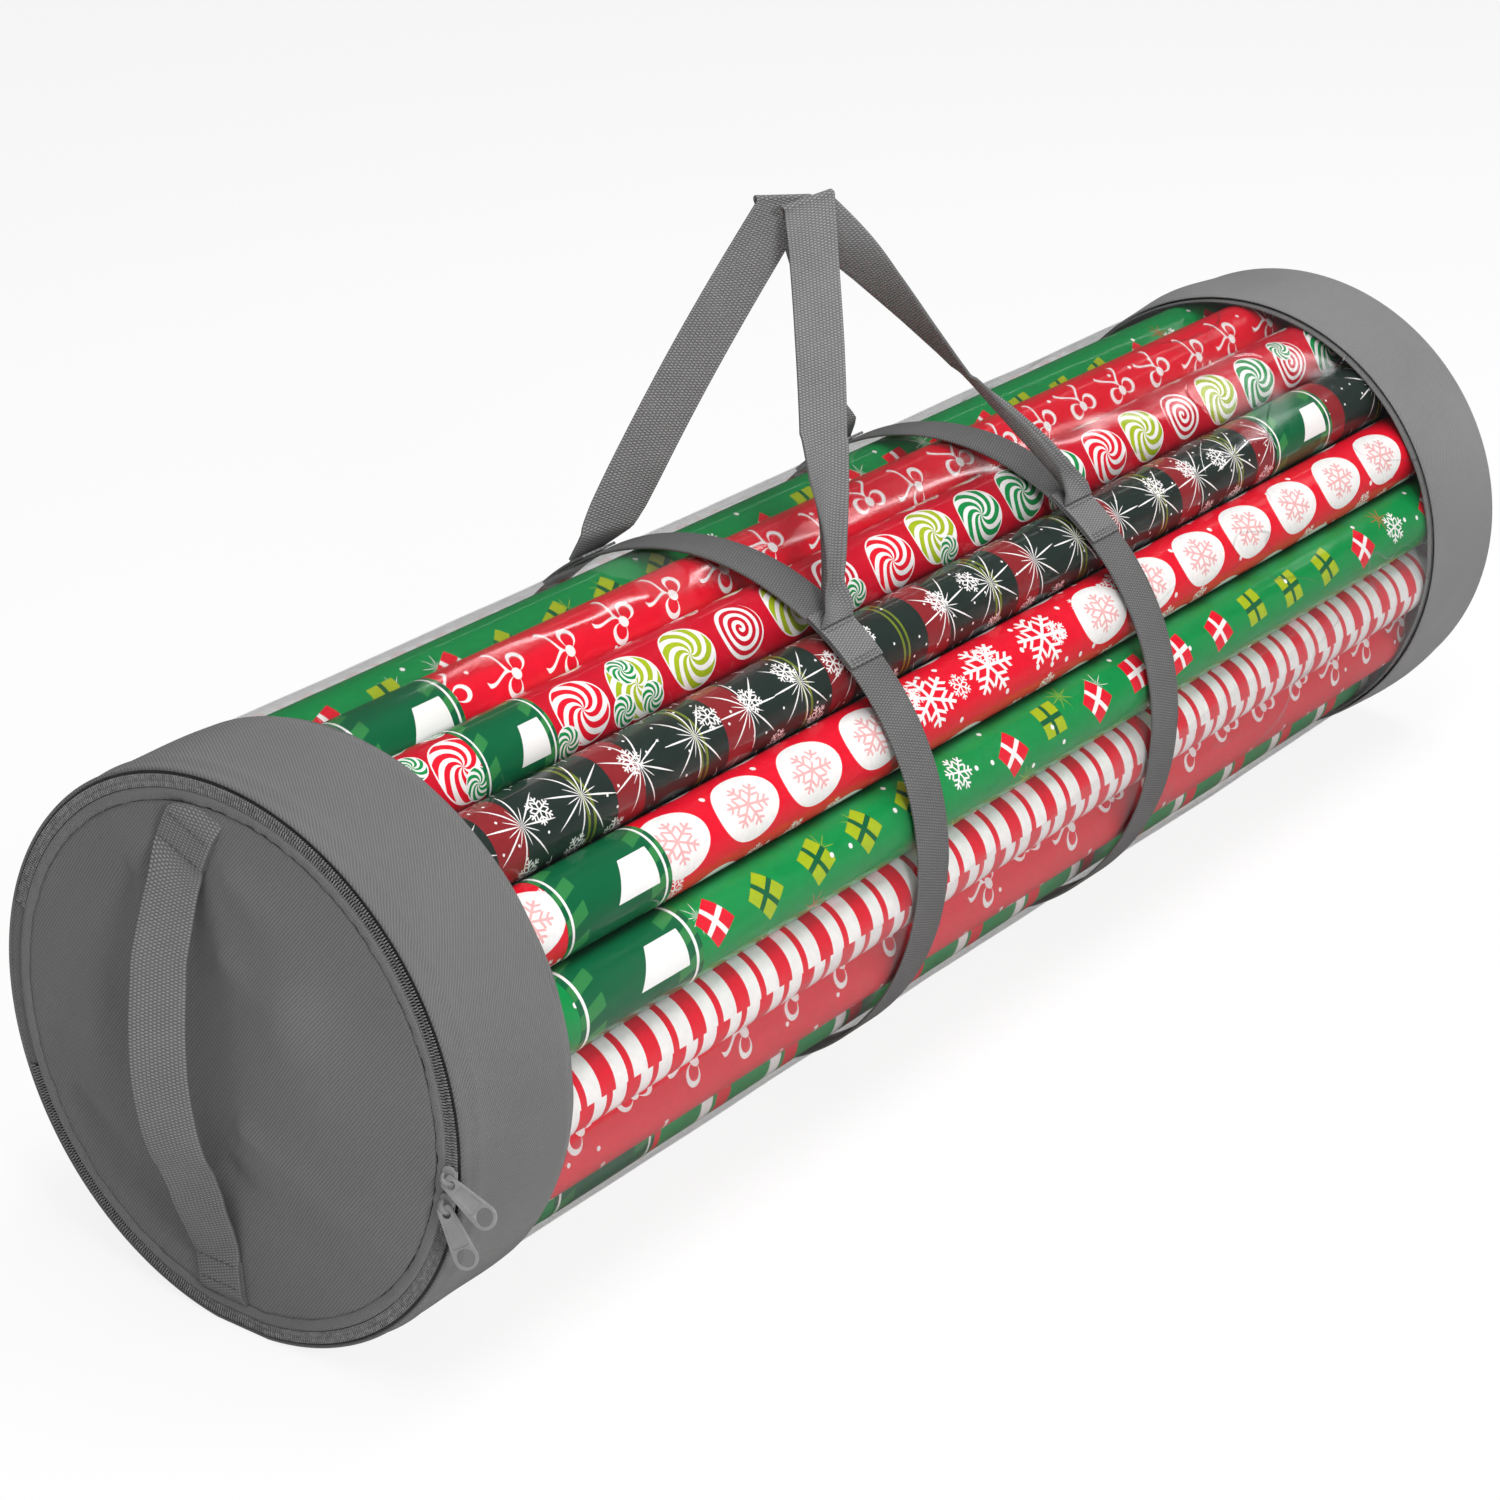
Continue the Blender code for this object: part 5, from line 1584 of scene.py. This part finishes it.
def print_blocks(tree, paper):
    """White with staggered red blocks, a wide one and a narrow one in turn."""
    place = parted(tree, paper)
    row = maths(tree, "FLOOR", maths(tree, "DIVIDE", place[1], QUARTER_TURN))
    along = maths(tree, "DIVIDE", place[0], BLOCK_REPEAT)
    turn = maths(tree, "FRACT", maths(tree, "MULTIPLY_ADD", row, 0.46, along))
    wide, narrow = maths(tree, "LESS_THAN", turn, 0.31), between(tree, turn, 0.57, 0.70)
    return over(tree, plain_colour(tree, WHITE), RED, maths(tree, "MAXIMUM", wide, narrow))


def print_stripes(tree, paper):
    """Green and white stripes round the roll, with red between."""
    turn = maths(tree, "FRACT", maths(tree, "DIVIDE", parted(tree, paper)[0], STRIPE_REPEAT))
    ink = over(tree, plain_colour(tree, GREEN), WHITE, maths(tree, "LESS_THAN", turn, 0.16))
    return over(tree, ink, RED, between(tree, turn, 0.22, 0.42))


def print_dots(tree, paper):
    """Green with white dots."""
    return scatter(tree, paper, plain_colour(tree, GREEN), WHITE, "disc", SIXTH_TURN, 0.20, loose=0.0)


PRINTS = {"bows": print_bows, "pinwheels": print_pinwheels, "plaid": print_plaid, "snow": print_snow,
          "gifts": print_gifts, "blocks": print_blocks, "stripes": print_stripes, "dots": print_dots}
ROLL_PRINTS = ("snow", "dots", "blocks", "bows", "gifts", "blocks", "dots", "gifts", "bows",
               "pinwheels", "plaid", "snow", "gifts", "blocks", "bows", "stripes", "blocks", "dots")
ROLL_SLOTS = ("red", "green", "white", "red", "green", "white", "green", "green", "red",
              "red", "green", "red", "green", "white", "red", "green", "white", "green")
LABELS = {1: (0.82, 0.9), 3: (0.10, 0.18), 6: (0.80, 0.88), 9: (0.085, 0.160), 10: (0.125, 0.180),
          11: (0.830, 0.900), 12: (0.105, 0.185), 13: (0.095, 0.190), 16: (0.12, 0.2)}
WRAPPED = {"Specular_IOR_Level": 0.2, "Coat_Weight": 0.7, "Coat_Roughness": 0.07, "Coat_IOR": 1.4}
EDGE_RING = 0.0005
EDGE_CREAM = (0.72, 0.68, 0.64, 1)
CARD_BROWN = (0.30, 0.235, 0.165, 1)


def gap_shade(tree, place):
    """Painted shade on the paper: dark in the narrow gaps where two rolls touch."""
    across = wire(tree, "VectorMath", (place, tuple(BAG_PLACE)), operation="SUBTRACT").outputs[0]
    flat = wire(tree, "VectorMath", (across, (0.0, 1.0, 1.0)), operation="MULTIPLY").outputs[0]
    reach = wire(tree, "VectorMath", (flat,), operation="LENGTH").outputs["Value"]
    apart = maths(tree, "ABSOLUTE", maths(tree, "SUBTRACT", reach, GAP_RADIUS))
    return spread(tree, apart, 0.0, GAP_REACH, GAP_DARKEST, 1.0, interpolation_type="SMOOTHSTEP")


def paper_finish(name):
    """Printed paper under tight clear film that creases and catches the light."""
    finish, tree, shader = new_finish("paper_" + name, 0.55, **WRAPPED)
    ink = PRINTS[name](tree, cloth_map(tree))
    place = object_place(tree)
    fibre = speckle(tree, place, 240.0, 3.0)
    ink = shaded(tree, ink, spread(tree, fibre, 0.3, 0.7, 0.94, 1.04))
    # The paper is drawn darker in the gaps between rolls: painted shade.
    tree.links.new(shaded(tree, ink, gap_shade(tree, place)), shader.inputs["Base Color"])
    creases = speckle(tree, stretched(tree, place, 0.30), 60.0, 4.0, 0.8)
    raise_surface(tree, shader, creases, 0.0012, 0.25, "Coat Normal")
    return finish


def near_to(tree, value, place, reach):
    """A mask, 1 where a value is within reach of a place."""
    return maths(tree, "LESS_THAN", maths(tree, "ABSOLUTE", maths(tree, "SUBTRACT", value, place)), reach)


def make_label_finish():
    """A plain green label with a pale line near each edge and a bare white tag."""
    finish, tree, shader = new_finish("roll_label", 0.55, **WRAPPED)
    along, round_it = parted(tree, wire(tree, "UVMap", uv_map="label").outputs[0])[:2]
    inward = maths(tree, "MINIMUM", along, maths(tree, "SUBTRACT", 1.0, along))
    line = near_to(tree, inward, 0.05, 0.011)
    slant = maths(tree, "MULTIPLY_ADD", round_it, 0.9, along)
    tag = maths(tree, "GREATER_THAN", slant, 0.72)
    tag = both(tree, tag, maths(tree, "LESS_THAN", along, 0.88))
    tag = both(tree, tag, near_to(tree, round_it, 0.19, 0.075))
    wave = maths(tree, "MULTIPLY_ADD", round_it, 9.0, maths(tree, "MULTIPLY", along, 2.0))
    wave = maths(tree, "LESS_THAN", maths(tree, "FRACT", wave), 0.5)
    pale = both(tree, wave, maths(tree, "LESS_THAN", inward, 0.20))
    ink = over(tree, plain_colour(tree, DARK_GREEN), LABEL_GREEN, pale)
    ink = over(tree, over(tree, ink, WHITE, line), WHITE, tag)
    # The label is drawn darker in the gaps between rolls: painted shade.
    ink = shaded(tree, ink, gap_shade(tree, object_place(tree)))
    tree.links.new(ink, shader.inputs["Base Color"])
    return finish


def make_edge_finish():
    """The wound paper's end: close pale rings."""
    finish, tree, shader = new_finish("wound_edge", 0.7)
    outward = parted(tree, cloth_map(tree))[0]
    rings = maths(tree, "SINE", maths(tree, "MULTIPLY", outward, math.tau / EDGE_RING))
    share = maths(tree, "MULTIPLY_ADD", rings, 0.16, 0.84)
    tree.links.new(shaded(tree, EDGE_CREAM, share), shader.inputs["Base Color"])
    raise_surface(tree, shader, rings, 0.0002, 0.6)
    return finish


def make_card_finish():
    """Grey-brown spiral-wound card."""
    finish, tree, shader = new_finish("core_card", 0.85)
    pulp = speckle(tree, object_place(tree), 300.0, 5.0)
    share = spread(tree, pulp, 0.3, 0.7, 0.82, 1.12)
    tree.links.new(shaded(tree, CARD_BROWN, share), shader.inputs["Base Color"])
    raise_surface(tree, shader, pulp, 0.0003, 0.4)
    return finish


paper_finishes = {name: paper_finish(name) for name in PRINTS}
roll_label = make_label_finish()
wound_edge = make_edge_finish()
core_card = make_card_finish()


def roll_profile():
    """One roll's section: paper outside, wound ends, and the card core's bore."""
    start, end, soft = ROLL_START, ROLL_START + ROLL_LENGTH, ROLL_SOFT_END
    outside = [(start + soft + (ROLL_LENGTH - 2 * soft) * i / 40, ROLL_RADIUS) for i in range(41)]
    far_end = [(end - soft * 0.3, ROLL_RADIUS - soft * 0.35), (end, ROLL_RADIUS - soft),
               (end, CORE_RADIUS), (end, BORE_RADIUS)]
    near_end = [(start, BORE_RADIUS), (start, CORE_RADIUS), (start, ROLL_RADIUS - soft),
                (start + soft * 0.3, ROLL_RADIUS - soft * 0.35)]
    return outside + far_end + near_end


def map_roll(work):
    """Map the paper along and round the roll, and its ends by their distance from the axis."""
    layer = work.loops.layers.uv.new("cloth")
    label = work.loops.layers.uv.new("label")
    middle_x = ROLL_START + ROLL_LENGTH / 2
    for face in work.faces:
        middle = face.calc_center_median()
        at_end = abs(abs(middle.x - middle_x) - ROLL_LENGTH / 2) < 0.0002
        core = math.hypot(middle.y, middle.z) < CORE_RADIUS
        face.material_index = 2 if core else 1 if at_end else 0
        for loop, angle in corners_round(face):
            place = loop.vert.co
            first = math.hypot(place.y, place.z) if at_end else place.x
            loop[layer].uv = (first, angle * ROLL_RADIUS)
            loop[label].uv = (0, 0)


def add_label(work, start, end):
    """A paper sleeve round the roll, a hair proud of it."""
    proud, under = ROLL_RADIUS + LABEL_WALL, ROLL_RADIUS - 0.0002
    sleeve = turn_strip([(start, under), (start, proud), (end, proud), (end, under)], ROLL_STEPS)
    layer = sleeve.loops.layers.uv.new("label")
    sleeve.loops.layers.uv.new("cloth")
    for face in sleeve.faces:
        face.material_index = 3
        for loop, angle in corners_round(face):
            loop[layer].uv = ((loop.vert.co.x - start) / (end - start), angle / math.tau)
    add_to(work, sleeve, Matrix())


def make_rolls():
    """The ring of rolls inside the tube, each turned by its own small amount."""
    chance = random.Random(7)
    ring = (roll_high.z + roll_low.z) / 2 - BAG_PLACE.z
    ring = ring / math.sin(ROLL_PHASE - math.pi / 2 + math.tau * 8.5 / ROLL_COUNT)
    for number in range(1, ROLL_COUNT + 1):
        work = turn_strip(roll_profile(), ROLL_STEPS, closed=True)
        map_roll(work)
        if number in LABELS:
            add_label(work, *LABELS[number])
        loose = chance.uniform(-ROLL_LOOSE_TURN, ROLL_LOOSE_TURN)
        turn = Matrix.Rotation(FACING_TURN + loose, 4, "X")
        angle = ROLL_PHASE - math.pi / 2 + math.tau * (number - 0.5) / ROLL_COUNT
        place = Matrix.Translation((0, ring * math.cos(angle), ring * math.sin(angle)))
        bmesh.ops.transform(work, matrix=place @ turn, verts=work.verts)
        finishes = [paper_finishes[ROLL_PRINTS[number - 1]], wound_edge, core_card, roll_label]
        roll = set_out(f"printed_roll_{number:02d}", work, finishes)
        roll.data.set_sharp_from_angle(angle=math.radians(50))
        hand_over(roll, "root", ROLL_SLOTS[number - 1] + "_paper", f"wrap_roll_{number:02d}")


make_rolls()
